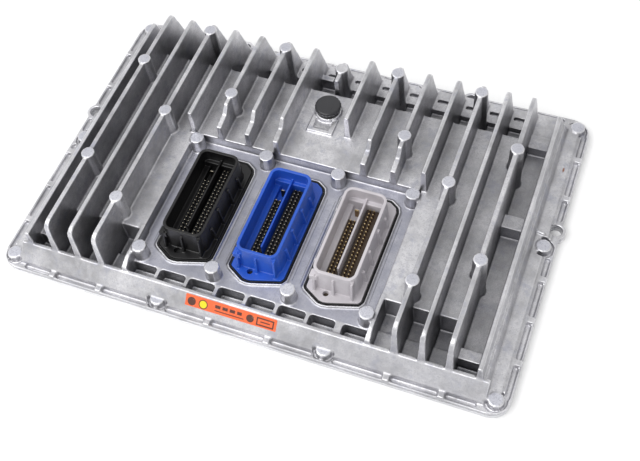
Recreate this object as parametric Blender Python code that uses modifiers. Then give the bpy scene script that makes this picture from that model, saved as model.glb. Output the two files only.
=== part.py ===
"""Engine control unit: a finned cast housing with three pin headers on a circuit board.

Units are metres and +Z is up. The unit stands on its base cover at Z = 0, and the
origin is under the middle of its overall box. X runs along the long side. The
headers stand in a recess that opens towards -Y, and the cooling fins run along Y.
Heights named RISE are measured from the joint between base cover and housing.
"""

import math

import bmesh
import bpy
from mathutils import Vector

# Case outline and the joint with the base cover
CASE_WIDTH = 0.2552
CASE_DEPTH = 0.1680
CASE_CORNER = 0.0085
FIT_GAP = 0.0003
COVER_THICKNESS = 0.0020

# Stepped flange, from the rim inwards
RIM_WIDTH = 0.0010
RIM_RISE = 0.0021
CHANNEL_RISE = 0.0008
SLOT_WIDTH = 0.0024
RIDGE_WIDTH = 0.0016
RIDGE_RISE = 0.0032
SHELF_RISE = 0.0041
SHELF_WIDTH_SIDE = 0.0055
CROSS_RIB = 0.0030
CROSS_RIB_SIDES_Y = (-0.0570, -0.0346, -0.0125, 0.0348, 0.0589)
CROSS_RIB_EDGES_X = (0.0980, 0.0726, 0.0151)

# Front wall, back ledge and end fins, which close the finned area
FRONT_WALL_TOP_WIDTH = 0.0017
FRONT_WALL_RISE = 0.0102
FRONT_WALL_INSET = 0.0104
LEDGE_WIDTH = 0.0135
LEDGE_RISE = 0.0056
LEDGE_POCKET_WIDTH = 0.0021
LEDGE_POCKET_DEPTH = 0.0022
LEDGE_POCKET_INSET = 0.0034
LEDGE_BLOCK = (-0.0150, -0.0067, 0.0669, 0.0700)
LEDGE_BLOCK_RISE = 0.0089
END_FIN_RISE = 0.0187
END_FIN_TOP_WIDTH = 0.0021
END_FIN_SPREAD = 0.0040
END_FIN_STEP = 0.0011
END_FIN_STEP_RISE = 0.0098

# Main floor between the fins
DECK_RISE = 0.0155
DECK_BACK = 0.0540
DECK_FRONT = -0.0515
COMPARTMENT_STEP_Y = -0.0620
WALL = 0.0024

# Cooling fins
INNER_FIN_PITCH = 0.0152
OUTER_FIN_PITCH = 0.0126
INNER_FINS = 4
OUTER_FINS = 3
FIN_TOP_WIDTH = 0.0023
FIN_DRAFT = 0.035
FIN_RISE = 0.0301
FIN_ROUND = 0.0030
FIN_BACK = 0.0705
FIN_BACK_LEAN = 0.36
FIN_FRONT_SLOPE = 0.085
FIN_NOSE_ROUND = 0.0040
SHORT_FIN_FRONT = 0.0099
SHORT_FIN_STEP = 0.0076
SHORT_FIN_STEP_DROP = 0.0044
VENT_FIN_FRONT = 0.0295
MIDDLE_FIN_FRONT = 0.0560
MIDDLE_FIN_RISE = 0.0237
LOW_RIB_RISE = 0.0157

# Recess that holds the headers
BAY_HALF_WIDTH = 0.0600
BAY_BACK = 0.0097
PLATFORM_RISE = 0.0097
FRONT_POCKET_WIDTH = 0.0056
FRONT_POCKET_WEB = 0.0020
WIDE_WEB = 0.0038
WIDE_WEB_FIN = 3

# Round bosses
FIN_BOSS_RADIUS = 0.0034
FIN_BOSS_RISE = 0.0307
MIDDLE_BOSS_STAND = 0.0006
BACK_BOSS_INSET = 0.0058
BOSS_DRAFT = 0.02
BAY_BOSS_RADIUS = 0.0037
BAY_BOSS_RISE = 0.0179
BAY_BOSS_BACK = 0.0056
BAY_BOSS_FRONT = -0.0615
FLANGE_BOSS_RADIUS = 0.0037
FLANGE_BOSS_RISE = 0.0048
MOAT_RADIUS = 0.0053
MOAT_HALF_ANGLE = 115
EDGE_MOAT_HALF_ANGLE = 90
CORNER_BOSS_INSET = 0.0064
SIDE_BOSS_INSET = 0.0059
LEFT_BOSS_Y = -0.0028
RIGHT_BOSS_Y = 0.0043
FRONT_BOSS_X = 0.0420
FRONT_BOSS_INSET = 0.0052
EYELET_RADIUS = 0.0048
EYELET_HOLE_RADIUS = 0.0031
EYELET_RISE = 0.0023
EYELET_INSET = 0.0024
SIDE_EYELET_Y = 0.0157
BACK_EYELET_X = 0.0647

# Headers and their seals
HEADER_PITCH = 0.0380
HEADER_HALF_WIDTH = 0.0134
HEADER_BACK = 0.0018
HEADER_FRONT = -0.0592
HEADER_CORNER = 0.0043
HEADER_SHOULDER = -0.0537
HEADER_TIP_X = -0.0033
HEADER_FLANGE_THICKNESS = 0.0034
HEADER_FLANGE_STAND = 0.0012
HEADER_HOLE_RADIUS = 0.0015
HEADER_HOLE_DEPTH = 0.0020
SEAL_WIDTH = 0.0005
OPENING_RIM_WIDTH = 0.0010
OPENING_RIM_RISE = 0.0008
SHROUD_LEFT = -0.0105
SHROUD_RIGHT = 0.0106
SHROUD_BACK = -0.0035
SHROUD_FRONT = -0.0526
SHROUD_CORNER = 0.0042
SHROUD_WALL = 0.0016
SHROUD_HEIGHT = 0.0138
SHROUD_FLOOR = 0.0006
SHROUD_RIB = 0.0009
SHROUD_RIB_LEFT = 0.0006
SHROUD_RIB_WIDTH = 0.0013
RIGHT_RIBS_Y = (-0.0430, -0.0340, -0.0220, -0.0125)
LEFT_RIBS_Y = (-0.0456, -0.0170)
FRONT_RIBS_X = (-0.0089, 0.0001, 0.0091)
PIN_PITCH = 0.0020
PIN_WIDTH = 0.00064
PIN_HEIGHT = 0.0058
LEFT_PINS_X = -0.0044
LEFT_PIN_ROWS = 16
RIGHT_PINS_X = 0.0026
RIGHT_PIN_ROWS = 20
FIRST_PIN_Y = -0.0471
BLADE_LENGTH = 0.0022
BLADE_OFFSET = 0.0061
DIVIDER_WIDTH = 0.0012
DIVIDER_HEIGHT = 0.0077
DIVIDER_FRONT = -0.0450
DIVIDER_BACK = -0.0080
INNER_LEDGE_DEPTH = 0.0019
INNER_LEDGE_HEIGHT = 0.0062

# Breather
VENT_X = 0.0006
VENT_Y = 0.0420
VENT_BOSS_RADIUS = 0.0068
VENT_BOSS_HEIGHT = 0.0020
VENT_CAP_RADIUS = 0.0066
VENT_CAP_HEIGHT = 0.0024
VENT_CAP_EDGE = 0.0009
VENT_CAP_SKIN = 0.0014
VENT_STEM_RADIUS = 0.0026
VENT_STEM_LENGTH = 0.0042
VENT_RING_SECTION = 0.0012
VENT_BORE_RADIUS = 0.0008
VENT_FRAME_HALF_WIDTH = 0.0066
VENT_FRAME_BAR = 0.0024
VENT_FRAME_FRONT = 0.0278
VENT_FRAME_HEIGHT = 0.0010

# Circuit board, its posts and screws
BOARD_THICKNESS = 0.0016
BOARD_EDGE_GAP = 0.0015
POST_RADIUS = 0.0033
POST_X = 0.0880
POST_BACK_Y = 0.0460
POST_FRONT_Y = -0.0400
POST_MIDDLE_X = 0.0230
BOARD_SCREW_RADIUS = 0.0012
BOARD_SCREW_HEAD_RADIUS = 0.0025
BOARD_SCREW_HEAD = 0.0012
BOARD_SCREW_REACH = 0.0060
DRIVE_RADIUS = 0.0011
DRIVE_DEPTH = 0.0006

# Cover screws and the gasket in the joint
COVER_SCREW_RADIUS = 0.0016
COVER_SCREW_HEAD_RADIUS = 0.0033
COVER_SCREW_REACH = 0.0032
GASKET_WIDTH = 0.0022
GASKET_HEIGHT = 0.0010
GASKET_INSET = 0.0106
GASKET_CORNER = 0.0040

# Parts soldered on the board: width, depth and height of each package
PROCESSOR_SIZE = (0.0230, 0.0230, 0.0022)
MEMORY_SIZE = (0.0120, 0.0090, 0.0014)
DRIVER_SIZE = (0.0130, 0.0100, 0.0030)
REGULATOR_SIZE = (0.0100, 0.0090, 0.0026)
CRYSTAL_SIZE = (0.0070, 0.0050, 0.0018)
INDUCTOR_SIZE = (0.0125, 0.0125, 0.0070)
CAPACITOR_RADIUS = 0.0040
CAPACITOR_HEIGHT = 0.0085
CAPACITOR_WAIST = 0.0016
PAD_THICKNESS = 0.0008
DRIVER_X = 0.0790
DRIVER_Y = (-0.0200, 0.0130)
PROCESSOR_X = 0.0020
PROCESSOR_Y = 0.0270
INDUCTOR_X = 0.0600
INDUCTOR_Y = 0.0390
CAPACITOR_X = (0.0760, 0.0860)
CAPACITOR_Y = 0.0300

# Counts of straight steps in round shapes
ARC_STEPS = 3
BOSS_SIDES = 10
HOLE_SIDES = 8
SCREW_SIDES = 8
CAN_SIDES = 8
RING_SIDES = 16
FLAT_ANGLE = math.radians(0.2)

# Heights and lines that follow from the sizes above
JOINT = COVER_THICKNESS + FIT_GAP
RIM_TOP = JOINT + RIM_RISE
SHELF_TOP = JOINT + SHELF_RISE
CHANNEL_FLOOR = JOINT + CHANNEL_RISE
DECK_TOP = JOINT + DECK_RISE
FIN_TOP = JOINT + FIN_RISE
PLATFORM_TOP = JOINT + PLATFORM_RISE
CAVITY_TOP = DECK_TOP - WALL
HALF_WIDTH = CASE_WIDTH / 2
HALF_DEPTH = CASE_DEPTH / 2
SLOT_INSET = RIM_WIDTH + SLOT_WIDTH
SHELF_INSET = SLOT_INSET + RIDGE_WIDTH
FRONT_WALL_Y = -HALF_DEPTH + FRONT_WALL_INSET
POCKET_FRONT = FRONT_WALL_Y + FRONT_WALL_TOP_WIDTH
POCKET_BACK = POCKET_FRONT + FRONT_POCKET_WIDTH
LEDGE_FRONT = HALF_DEPTH - SLOT_INSET - LEDGE_WIDTH
END_FIN_X = HALF_WIDTH - SHELF_INSET - SHELF_WIDTH_SIDE - END_FIN_SPREAD
BOARD_BOTTOM = COVER_THICKNESS + BOARD_SCREW_HEAD + 2 * FIT_GAP
BOARD_TOP = BOARD_BOTTOM + BOARD_THICKNESS
PART_SEAT = BOARD_TOP + FIT_GAP
HEADER_TOP = PLATFORM_TOP + HEADER_FLANGE_STAND
HEADER_BOTTOM = HEADER_TOP - HEADER_FLANGE_THICKNESS
OPENING_LEDGE = HEADER_BOTTOM - FIT_GAP
BAY_CAVITY_TOP = OPENING_LEDGE - 0.7 * WALL
TONGUE_SIDE = BAY_HALF_WIDTH + 0.0002
TONGUE_FRONT = POCKET_BACK + 0.7 * WALL
SEAL_INNER = FIT_GAP
SEAL_OUTER = SEAL_INNER + SEAL_WIDTH
OPENING_OUTER = SEAL_OUTER + FIT_GAP
SINK = 0.0008
REACH = 0.0010
ROOT = RIM_TOP - SINK
OVERHANG = EYELET_RADIUS - EYELET_INSET
ORIGIN_SHIFT = Vector((0.0, -OVERHANG / 2, 0.0))


# Scene set-up
def clear_scene():
    """Remove every object that a new file starts with."""
    for thing in list(bpy.data.objects):
        bpy.data.objects.remove(thing, do_unlink=True)


def new_collection(name):
    """Make a collection that hangs from the scene's own one."""
    group = bpy.data.collections.new(name)
    bpy.context.scene.collection.children.link(group)
    return group


clear_scene()
UNIT = new_collection("engine_control_unit")
CUTTERS = new_collection("construction")
FRAME = bpy.data.objects.new("unit_origin", None)
FRAME.location = ORIGIN_SHIFT
UNIT.objects.link(FRAME)


def principled(name, color, roughness, metallic=0.0):
    """Make a plain surface material."""
    material = bpy.data.materials.new(name)
    material.use_nodes = True
    shader = material.node_tree.nodes["Principled BSDF"]
    shader.inputs["Base Color"].default_value = (*color, 1.0)
    shader.inputs["Roughness"].default_value = roughness
    shader.inputs["Metallic"].default_value = metallic
    material.diffuse_color = (*color, 1.0)
    return material


CAST_ALUMINIUM = principled("cast_aluminium", (0.60, 0.60, 0.61), 0.42, 1.0)
SHEET_ALUMINIUM = principled("sheet_aluminium", (0.66, 0.66, 0.67), 0.35, 1.0)
BLACK_PLASTIC = principled("black_plastic", (0.012, 0.012, 0.013), 0.38)
BLUE_PLASTIC = principled("blue_plastic", (0.020, 0.120, 0.560), 0.38)
GREY_PLASTIC = principled("grey_plastic", (0.46, 0.46, 0.45), 0.42)
SEAL_RUBBER = principled("seal_rubber", (0.010, 0.010, 0.010), 0.75)
ZINC_STEEL = principled("zinc_steel", (0.62, 0.62, 0.60), 0.30, 1.0)
BOARD_GREEN = principled("board_green", (0.020, 0.140, 0.060), 0.45)
CHIP_BLACK = principled("chip_black", (0.020, 0.020, 0.022), 0.55)
PAD_GREY = principled("thermal_pad", (0.42, 0.47, 0.55), 0.80)
CAN_METAL = principled("can_metal", (0.55, 0.56, 0.58), 0.30, 1.0)


# Outlines, as lists of points in a plane
def arc(center, radius, start, end, steps=ARC_STEPS):
    """Points along an arc, with its angles in degrees."""
    points = []
    for step in range(steps + 1):
        angle = math.radians(start + (end - start) * step / steps)
        points.append((center[0] + radius * math.cos(angle), center[1] + radius * math.sin(angle)))
    return points


def rounded_box(left, right, front, back, radius):
    """Outline of a rectangle with round corners, counterclockwise."""
    corners = (
        (right - radius, back - radius, 0),
        (left + radius, back - radius, 90),
        (left + radius, front + radius, 180),
        (right - radius, front + radius, 270),
    )
    points = []
    for x, y, angle in corners:
        points += arc((x, y), radius, angle, angle + 90)
    return points


def case_outline(inset, radius=None):
    """Outline of the case, drawn in by one distance all round."""
    if radius is None:
        radius = max(CASE_CORNER - inset, 0.0015)
    half_x = HALF_WIDTH - inset
    half_y = HALF_DEPTH - inset
    return rounded_box(-half_x, half_x, -half_y, half_y, radius)


def rectangle(left, right, front, back):
    """Outline of a rectangle, counterclockwise."""
    return [(left, front), (right, front), (right, back), (left, back)]


def circle(x, y, radius, sides=RING_SIDES):
    """Outline of a round hole or disc."""
    return arc((x, y), radius, 0, 360 * (sides - 1) / sides, sides - 1)


def offset_outline(outline, distance):
    """Move each side of a counterclockwise outline out by one distance."""
    points = []
    count = len(outline)
    for index in range(count):
        here = Vector(outline[index])
        before = (here - Vector(outline[index - 1])).normalized()
        after = (Vector(outline[(index + 1) % count]) - here).normalized()
        normal = Vector((before.y, -before.x)) + Vector((after.y, -after.x))
        normal.normalize()
        stretch = distance / max(normal.dot(Vector((after.y, -after.x))), 0.3)
        points.append(tuple(here + normal * stretch))
    return points


def slot(start, end, across, along_x):
    """Outline of a slot with round ends between two stops."""
    radius = SLOT_WIDTH / 2
    if along_x:
        return arc((end - radius, across), radius, -90, 90) + arc((start + radius, across), radius, 90, 270)
    return arc((across, end - radius), radius, 0, 180) + arc((across, start + radius), radius, 180, 360)


# Solids
def add_object(name, mesh, group=CUTTERS, material=None):
    """Put a mesh in the scene, as a piece of the unit or as a guide."""
    thing = bpy.data.objects.new(name, mesh)
    group.objects.link(thing)
    if group is UNIT:
        thing.parent = FRAME
    else:
        thing.hide_render = True
        thing.display_type = "WIRE"
        thing.parent = FRAME
    if material is not None:
        mesh.materials.append(material)
    return thing


def evaluated_mesh(thing):
    """The mesh that an object has after its modifiers or as a curve."""
    bpy.context.view_layer.update()
    graph = bpy.context.evaluated_depsgraph_get()
    return bpy.data.meshes.new_from_object(thing.evaluated_get(graph))


def filled_curve(outlines, half_length):
    """Mesh of one flat outline, with any holes, given a thickness."""
    curve = bpy.data.curves.new("outline", "CURVE")
    curve.dimensions = "2D"
    curve.fill_mode = "BOTH"
    curve.extrude = half_length
    for outline in outlines:
        spline = curve.splines.new("POLY")
        spline.points.add(len(outline) - 1)
        spline.use_cyclic_u = True
        for point, place in zip(spline.points, outline):
            point.co = (place[0], place[1], 0.0, 1.0)
    guide = bpy.data.objects.new("outline", curve)
    bpy.context.scene.collection.objects.link(guide)
    mesh = evaluated_mesh(guide)
    bpy.data.objects.remove(guide, do_unlink=True)
    bpy.data.curves.remove(curve)
    return mesh


def finish_mesh(mesh, place=None):
    """Weld a mesh, merge its flat faces, move its points by a rule and face it outwards."""
    shape = bmesh.new()
    shape.from_mesh(mesh)
    bmesh.ops.remove_doubles(shape, verts=shape.verts, dist=0.000001)
    bmesh.ops.dissolve_limit(shape, angle_limit=FLAT_ANGLE, verts=shape.verts, edges=shape.edges)
    if place is not None:
        for vert in shape.verts:
            vert.co = Vector(place(vert.co.copy()))
    bmesh.ops.recalc_face_normals(shape, faces=shape.faces)
    shape.to_mesh(mesh)
    shape.free()
    return mesh


def slab(name, outlines, bottom, top, group=CUTTERS, material=None):
    """Upright solid between two heights."""
    half = (top - bottom) / 2
    mesh = finish_mesh(filled_curve(outlines, half), lambda co: (co.x, co.y, co.z + bottom + half))
    return add_object(name, mesh, group, material)


def block(name, left, right, front, back, bottom, top, group=CUTTERS, material=None):
    """Box between two corners."""
    mesh = bpy.data.meshes.new(name)
    shape = bmesh.new()
    bmesh.ops.create_cube(shape, size=1.0)
    for vert in shape.verts:
        vert.co.x = left + (vert.co.x + 0.5) * (right - left)
        vert.co.y = front + (vert.co.y + 0.5) * (back - front)
        vert.co.z = bottom + (vert.co.z + 0.5) * (top - bottom)
    shape.to_mesh(mesh)
    shape.free()
    return add_object(name, mesh, group, material)


def cone(name, x, y, bottom, top, low_radius, high_radius, sides=BOSS_SIDES, group=CUTTERS, material=None):
    """Upright round solid, straight or tapered."""
    mesh = bpy.data.meshes.new(name)
    shape = bmesh.new()
    bmesh.ops.create_cone(shape, cap_ends=True, segments=sides, radius1=low_radius, radius2=high_radius,
                          depth=top - bottom)
    for vert in shape.verts:
        vert.co += Vector((x, y, (top + bottom) / 2))
    shape.to_mesh(mesh)
    shape.free()
    return add_object(name, mesh, group, material)


def turned(name, profile, sides, group, material):
    """Round piece from a closed profile of radius and height, with a Screw modifier."""
    mesh = bpy.data.meshes.new(name)
    shape = bmesh.new()
    verts = [shape.verts.new((radius, 0.0, height)) for radius, height in profile]
    for first, second in zip(verts, verts[1:]):
        shape.edges.new((first, second))
    shape.to_mesh(mesh)
    shape.free()
    thing = add_object(name, mesh, group, material)
    screw = thing.modifiers.new("turn", "SCREW")
    screw.steps = sides
    screw.render_steps = sides
    screw.use_merge_vertices = True
    screw.merge_threshold = 0.00001
    return thing


def combine(thing, guides, operation, name):
    """Boolean of an object with all guides of one collection."""
    group = new_collection(name)
    CUTTERS.children.link(group)
    bpy.context.scene.collection.children.unlink(group)
    for guide in guides:
        CUTTERS.objects.unlink(guide)
        group.objects.link(guide)
    modifier = thing.modifiers.new(name, "BOOLEAN")
    modifier.operation = operation
    modifier.operand_type = "COLLECTION"
    modifier.collection = group
    modifier.solver = "EXACT"
    return thing


def settle(thing):
    """Give an object the mesh that its modifiers make, and drop their guides."""
    mesh = finish_mesh(evaluated_mesh(thing))
    groups = [modifier.collection for modifier in thing.modifiers if modifier.type == "BOOLEAN"]
    thing.modifiers.clear()
    thing.data = mesh
    for group in groups:
        for guide in list(group.objects):
            bpy.data.objects.remove(guide, do_unlink=True)
        bpy.data.collections.remove(group)
    return thing


def joined_guides(name, guides):
    """Put guides that don't touch each other into one mesh."""
    shape = bmesh.new()
    for guide in guides:
        shape.from_mesh(guide.data)
        bpy.data.objects.remove(guide, do_unlink=True)
    mesh = bpy.data.meshes.new(name)
    shape.to_mesh(mesh)
    shape.free()
    return add_object(name, mesh)


# Fins
def fin_x(number):
    """Place of a fin across the case, counted from the middle one."""
    inner = min(abs(number), INNER_FINS)
    outer = max(abs(number) - INNER_FINS, 0)
    return math.copysign(inner * INNER_FIN_PITCH + outer * OUTER_FIN_PITCH, number)


def fin_back(top, base):
    """Back end of a fin: a round shoulder and a foot that leans out."""
    center = (FIN_BACK - FIN_ROUND, top - FIN_ROUND)
    shoulder = arc(center, FIN_ROUND, 90, 20)
    foot = FIN_BACK + FIN_BACK_LEAN * (top - FIN_ROUND - base)
    return shoulder + [(foot, base)]


def fin_front_long(top, base):
    """Front end that runs down to the front wall."""
    reach = FRONT_WALL_Y + FRONT_WALL_TOP_WIDTH * 0.3
    nose = reach + FIN_FRONT_SLOPE * (top - FIN_NOSE_ROUND - JOINT - FRONT_WALL_RISE)
    center = (nose + FIN_NOSE_ROUND, top - FIN_NOSE_ROUND)
    return [(reach, base), (reach, JOINT + FRONT_WALL_RISE)] + arc(center, FIN_NOSE_ROUND, 175, 90)


def fin_front_cut(front, top, base):
    """Upright front end."""
    return [(front, base), (front, top)]


def fin_front_stepped(top, base):
    """Front end with a lower step over the edge of the recess."""
    low = top - SHORT_FIN_STEP_DROP
    step = SHORT_FIN_FRONT + SHORT_FIN_STEP
    rise = SHORT_FIN_STEP_DROP * 0.8
    return [(SHORT_FIN_FRONT, base), (SHORT_FIN_FRONT, low - FIN_TOP_WIDTH / 2), (step, low), (step + rise, top)]


def fin(number):
    """One cooling fin as a plate that gets thicker towards its root."""
    base = ROOT
    top = FIN_TOP
    kind = abs(number)
    if kind > INNER_FINS:
        front = fin_front_long(top, base)
    elif kind == INNER_FINS:
        front = fin_front_cut(SHORT_FIN_FRONT, top, base)
    elif number == 0:
        top = JOINT + MIDDLE_FIN_RISE
        front = fin_front_cut(MIDDLE_FIN_FRONT, top, base)
    elif number == 1:
        front = fin_front_cut(VENT_FIN_FRONT, top, base)
    else:
        front = fin_front_stepped(top, base)
    mesh = filled_curve([front + fin_back(top, base)], 0.5)
    return add_object(f"fin_{number}", finish_mesh(mesh, drafted(fin_x(number), top)))


def drafted(x, top):
    """Rule that stands a profile upright across X with draft on both faces."""
    def place(co):
        side = math.copysign(1.0, co.z)
        half = FIN_TOP_WIDTH / 2 + (top - co.y) * FIN_DRAFT
        return (x + side * half, co.x, co.y)
    return place


def low_rib(side):
    """Rib that carries on from the edge of the recess to the front wall."""
    base = ROOT
    top = JOINT + LOW_RIB_RISE
    reach = FRONT_WALL_Y + FRONT_WALL_TOP_WIDTH * 0.5
    outline = [(reach, base), (reach, top - 0.0030), (reach + 0.0040, top - 0.0006), (reach + 0.0060, top),
               (DECK_FRONT + WALL, top), (DECK_FRONT + WALL, base)]
    mesh = filled_curve([outline], 0.5)
    return add_object(f"low_rib_{side}", finish_mesh(mesh, drafted(side * fin_x(INNER_FINS), top)))


def end_fin(side):
    """Low outer fin with a stepped slope towards the flange."""
    base = ROOT
    top = JOINT + END_FIN_RISE
    inner = END_FIN_X - END_FIN_TOP_WIDTH
    step = JOINT + END_FIN_STEP_RISE
    half_spread = (END_FIN_SPREAD - END_FIN_STEP) / 2
    outline = [(inner - 0.0005, base), (inner, top), (END_FIN_X, top),
               (END_FIN_X + half_spread * 0.6, step + 0.0004), (END_FIN_X + half_spread * 0.6 + END_FIN_STEP, step),
               (END_FIN_X + END_FIN_SPREAD, SHELF_TOP - SINK), (END_FIN_X + END_FIN_SPREAD, base)]
    front = FRONT_WALL_Y + FRONT_WALL_TOP_WIDTH * 0.4
    back = FIN_BACK

    def place(co):
        lean = FIN_BACK_LEAN * (top - co.y)
        end = back + lean if co.z < 0 else front
        return (side * co.x, end, co.y)

    return add_object(f"end_fin_{side}", finish_mesh(filled_curve([outline], 0.5), place))


# Cast housing
def front_wall():
    """Sloping wall along the front of the finned area."""
    low = JOINT + RIDGE_RISE
    front = -HALF_DEPTH + SLOT_INSET + 0.0003
    outline = [(front, JOINT + RIM_RISE / 2), (front, low), (FRONT_WALL_Y, JOINT + FRONT_WALL_RISE),
               (FRONT_WALL_Y + FRONT_WALL_TOP_WIDTH, JOINT + FRONT_WALL_RISE),
               (FRONT_WALL_Y + FRONT_WALL_TOP_WIDTH + 0.0002, JOINT + RIM_RISE / 2)]
    half = END_FIN_X + END_FIN_SPREAD
    mesh = filled_curve([outline], 0.5)
    return add_object("front_wall", finish_mesh(mesh, lambda co: (co.z * 2 * half, co.x, co.y)))


def boss(name, x, y, radius, top, base, sides=BOSS_SIDES):
    """Round boss with draft."""
    return cone(name, x, y, base, top, radius + (top - base) * BOSS_DRAFT, radius, sides)


def fin_bosses():
    """Round bosses that stand on the fins."""
    back_row = FIN_BACK - BACK_BOSS_INSET
    fin_rows = ((2, back_row), (5, back_row), (-2, back_row), (-5, back_row),
                (7, 0.0363), (7, -0.0272), (-7, 0.0363), (-7, -0.0272),
                (5, 0.0085), (5, -0.0462), (-5, 0.0085), (-5, -0.0462), (3, 0.0283), (-3, 0.0283))
    base = ROOT + FIT_GAP
    bosses = [boss("fin_boss", fin_x(number), y, FIN_BOSS_RADIUS, JOINT + FIN_BOSS_RISE, base)
              for number, y in fin_rows]
    middle_top = JOINT + MIDDLE_FIN_RISE + MIDDLE_BOSS_STAND
    bosses.append(boss("fin_boss", 0.0, back_row, FIN_BOSS_RADIUS, middle_top, base))
    return bosses


def bay_boss_places():
    """Places of the bosses between the headers."""
    return [(x * HEADER_PITCH, y) for y in (BAY_BOSS_BACK, BAY_BOSS_FRONT) for x in (-1.5, -0.5, 0.5, 1.5)]


def flange_boss_places():
    """Places of the bosses that take the cover screws."""
    corner_x = HALF_WIDTH - CORNER_BOSS_INSET
    corner_y = HALF_DEPTH - CORNER_BOSS_INSET
    side_x = HALF_WIDTH - SIDE_BOSS_INSET
    edge_y = HALF_DEPTH - FRONT_BOSS_INSET
    places = [(sx * corner_x, sy * corner_y) for sx in (-1, 1) for sy in (-1, 1)]
    places += [(-side_x, LEFT_BOSS_Y), (side_x, RIGHT_BOSS_Y)]
    places += [(sx * FRONT_BOSS_X, sy * edge_y) for sx in (-1, 1) for sy in (-1, 1)]
    return places


def eyelet_places():
    """Places of the four mounting eyelets."""
    side_x = HALF_WIDTH - EYELET_INSET
    back_y = HALF_DEPTH - EYELET_INSET
    return [(-side_x, SIDE_EYELET_Y), (side_x, SIDE_EYELET_Y), (-BACK_EYELET_X, back_y), (BACK_EYELET_X, back_y)]


def flange_slots():
    """Outlines of the channels between rim and ridge, stopped by ribs, bosses and eyelets."""
    rib = CROSS_RIB / 2
    boss_stop = FLANGE_BOSS_RADIUS + 0.0009
    eye_stop = EYELET_RADIUS + 0.0005
    side_end = HALF_DEPTH - CORNER_BOSS_INSET - 0.0020
    edge_end = HALF_WIDTH - CORNER_BOSS_INSET - MOAT_RADIUS - 0.0020
    side_ribs = [(y, rib) for y in CROSS_RIB_SIDES_Y]
    side_x = HALF_WIDTH - RIM_WIDTH - SLOT_WIDTH / 2
    edge_y = HALF_DEPTH - RIM_WIDTH - SLOT_WIDTH / 2
    slots = []
    for side, boss_y in ((-1, LEFT_BOSS_Y), (1, RIGHT_BOSS_Y)):
        stops = side_ribs + [(boss_y, boss_stop), (SIDE_EYELET_Y, eye_stop)]
        slots += slots_between(stops, side_end, side * side_x, False)
    front = [(sx * x, rib) for x in CROSS_RIB_EDGES_X for sx in (-1, 1)]
    bosses = [(sx * FRONT_BOSS_X, boss_stop) for sx in (-1, 1)]
    eyelets = [(sx * BACK_EYELET_X, eye_stop) for sx in (-1, 1)]
    slots += slots_between(front + bosses, edge_end, -edge_y, True)
    back = [stop for stop in front if clear_of_eyelet(stop[0])]
    slots += slots_between(back + bosses + eyelets, edge_end, edge_y, True)
    return slots


def clear_of_eyelet(x):
    """Whether a place along the back edge is far enough from its two eyelets."""
    return abs(abs(x) - BACK_EYELET_X) > 0.010


def slots_between(stops, end, across, along_x):
    """Slots in the gaps that a row of stops leaves."""
    slots = []
    start = -end
    for place, half in sorted(stops) + [(end, 0.0)]:
        if place - half - start > 1.3 * SLOT_WIDTH:
            slots.append(slot(start, place - half, across, along_x))
        start = place + half
    return slots


def cross_ribs():
    """Ribs that join the ridge to the rim across the channels."""
    half = CROSS_RIB / 2
    low = JOINT + RIM_RISE / 2 + FIT_GAP
    top = JOINT + RIDGE_RISE - 0.0002
    inner_x = HALF_WIDTH - SHELF_INSET
    inner_y = HALF_DEPTH - SHELF_INSET
    outer_x = HALF_WIDTH - 0.0003
    outer_y = HALF_DEPTH - 0.0003
    ribs = []
    for side in (-1, 1):
        left, right = sorted((side * inner_x, side * outer_x))
        ribs += [block("cross_rib", left, right, y - half, y + half, low, top) for y in CROSS_RIB_SIDES_Y]
        for x in CROSS_RIB_EDGES_X:
            ribs.append(block("cross_rib", side * x - half, side * x + half, -outer_y, -inner_y, low, top))
            if clear_of_eyelet(x):
                ribs.append(block("cross_rib", side * x - half, side * x + half, inner_y, outer_y, low, top))
    return ribs


def inside_rim(x, y):
    """The nearest place within the rim to a point."""
    core_x = HALF_WIDTH - CASE_CORNER
    core_y = HALF_DEPTH - CASE_CORNER
    core = Vector((min(max(x, -core_x), core_x), min(max(y, -core_y), core_y)))
    away = Vector((x, y)) - core
    reach = CASE_CORNER - RIM_WIDTH
    if away.length > reach:
        away *= reach / away.length
    return tuple(core + away)


def moats():
    """Deep channel round the outer side of each flange boss."""
    cutters = []
    for x, y in flange_boss_places():
        if abs(x) == FRONT_BOSS_X:
            outward = math.copysign(90, y)
            spread = EDGE_MOAT_HALF_ANGLE
        elif y in (LEFT_BOSS_Y, RIGHT_BOSS_Y):
            outward = 90 - math.copysign(90, x)
            spread = MOAT_HALF_ANGLE
        else:
            outward = math.degrees(math.atan2(math.copysign(1, y), math.copysign(1, x)))
            spread = MOAT_HALF_ANGLE
        rim = arc((x, y), MOAT_RADIUS, outward - spread, outward + spread, 10)
        outline = [(x, y)] + [inside_rim(*point) for point in rim]
        cutters.append(slab("moat", [outline], CHANNEL_FLOOR, JOINT + FLANGE_BOSS_RISE + REACH))
    return cutters


def deep_floors():
    """Outlines of the floors below the shelf: behind and before the deck and beside the end fins."""
    under = 0.0005
    last = fin_x(INNER_FINS + OUTER_FINS)
    edge = fin_x(INNER_FINS)
    groove = END_FIN_X - END_FIN_TOP_WIDTH
    floors = [rectangle(-last + under, last - under, DECK_BACK - REACH, LEDGE_FRONT + REACH)]
    for side in (-1, 1):
        left, right = sorted((side * (edge + under), side * (last - under)))
        floors.append(rectangle(left, right, COMPARTMENT_STEP_Y, DECK_FRONT + REACH))
        left, right = sorted((side * (last + under), side * groove))
        floors.append(rectangle(left, right, POCKET_FRONT - under, LEDGE_FRONT + REACH))
    return floors


def eyelet_web():
    """Bent rib that runs from the end fin to the right-hand eyelet."""
    outline = [(0.1122, 0.0124), (0.1150, 0.0120), (0.1172, 0.0106), (0.1206, 0.0100),
               (0.1206, 0.0112), (0.1178, 0.0118), (0.1156, 0.0132), (0.1122, 0.0138)]
    return slab("eyelet_web", [outline], SHELF_TOP - SINK, SHELF_TOP + 0.0010)


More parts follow.
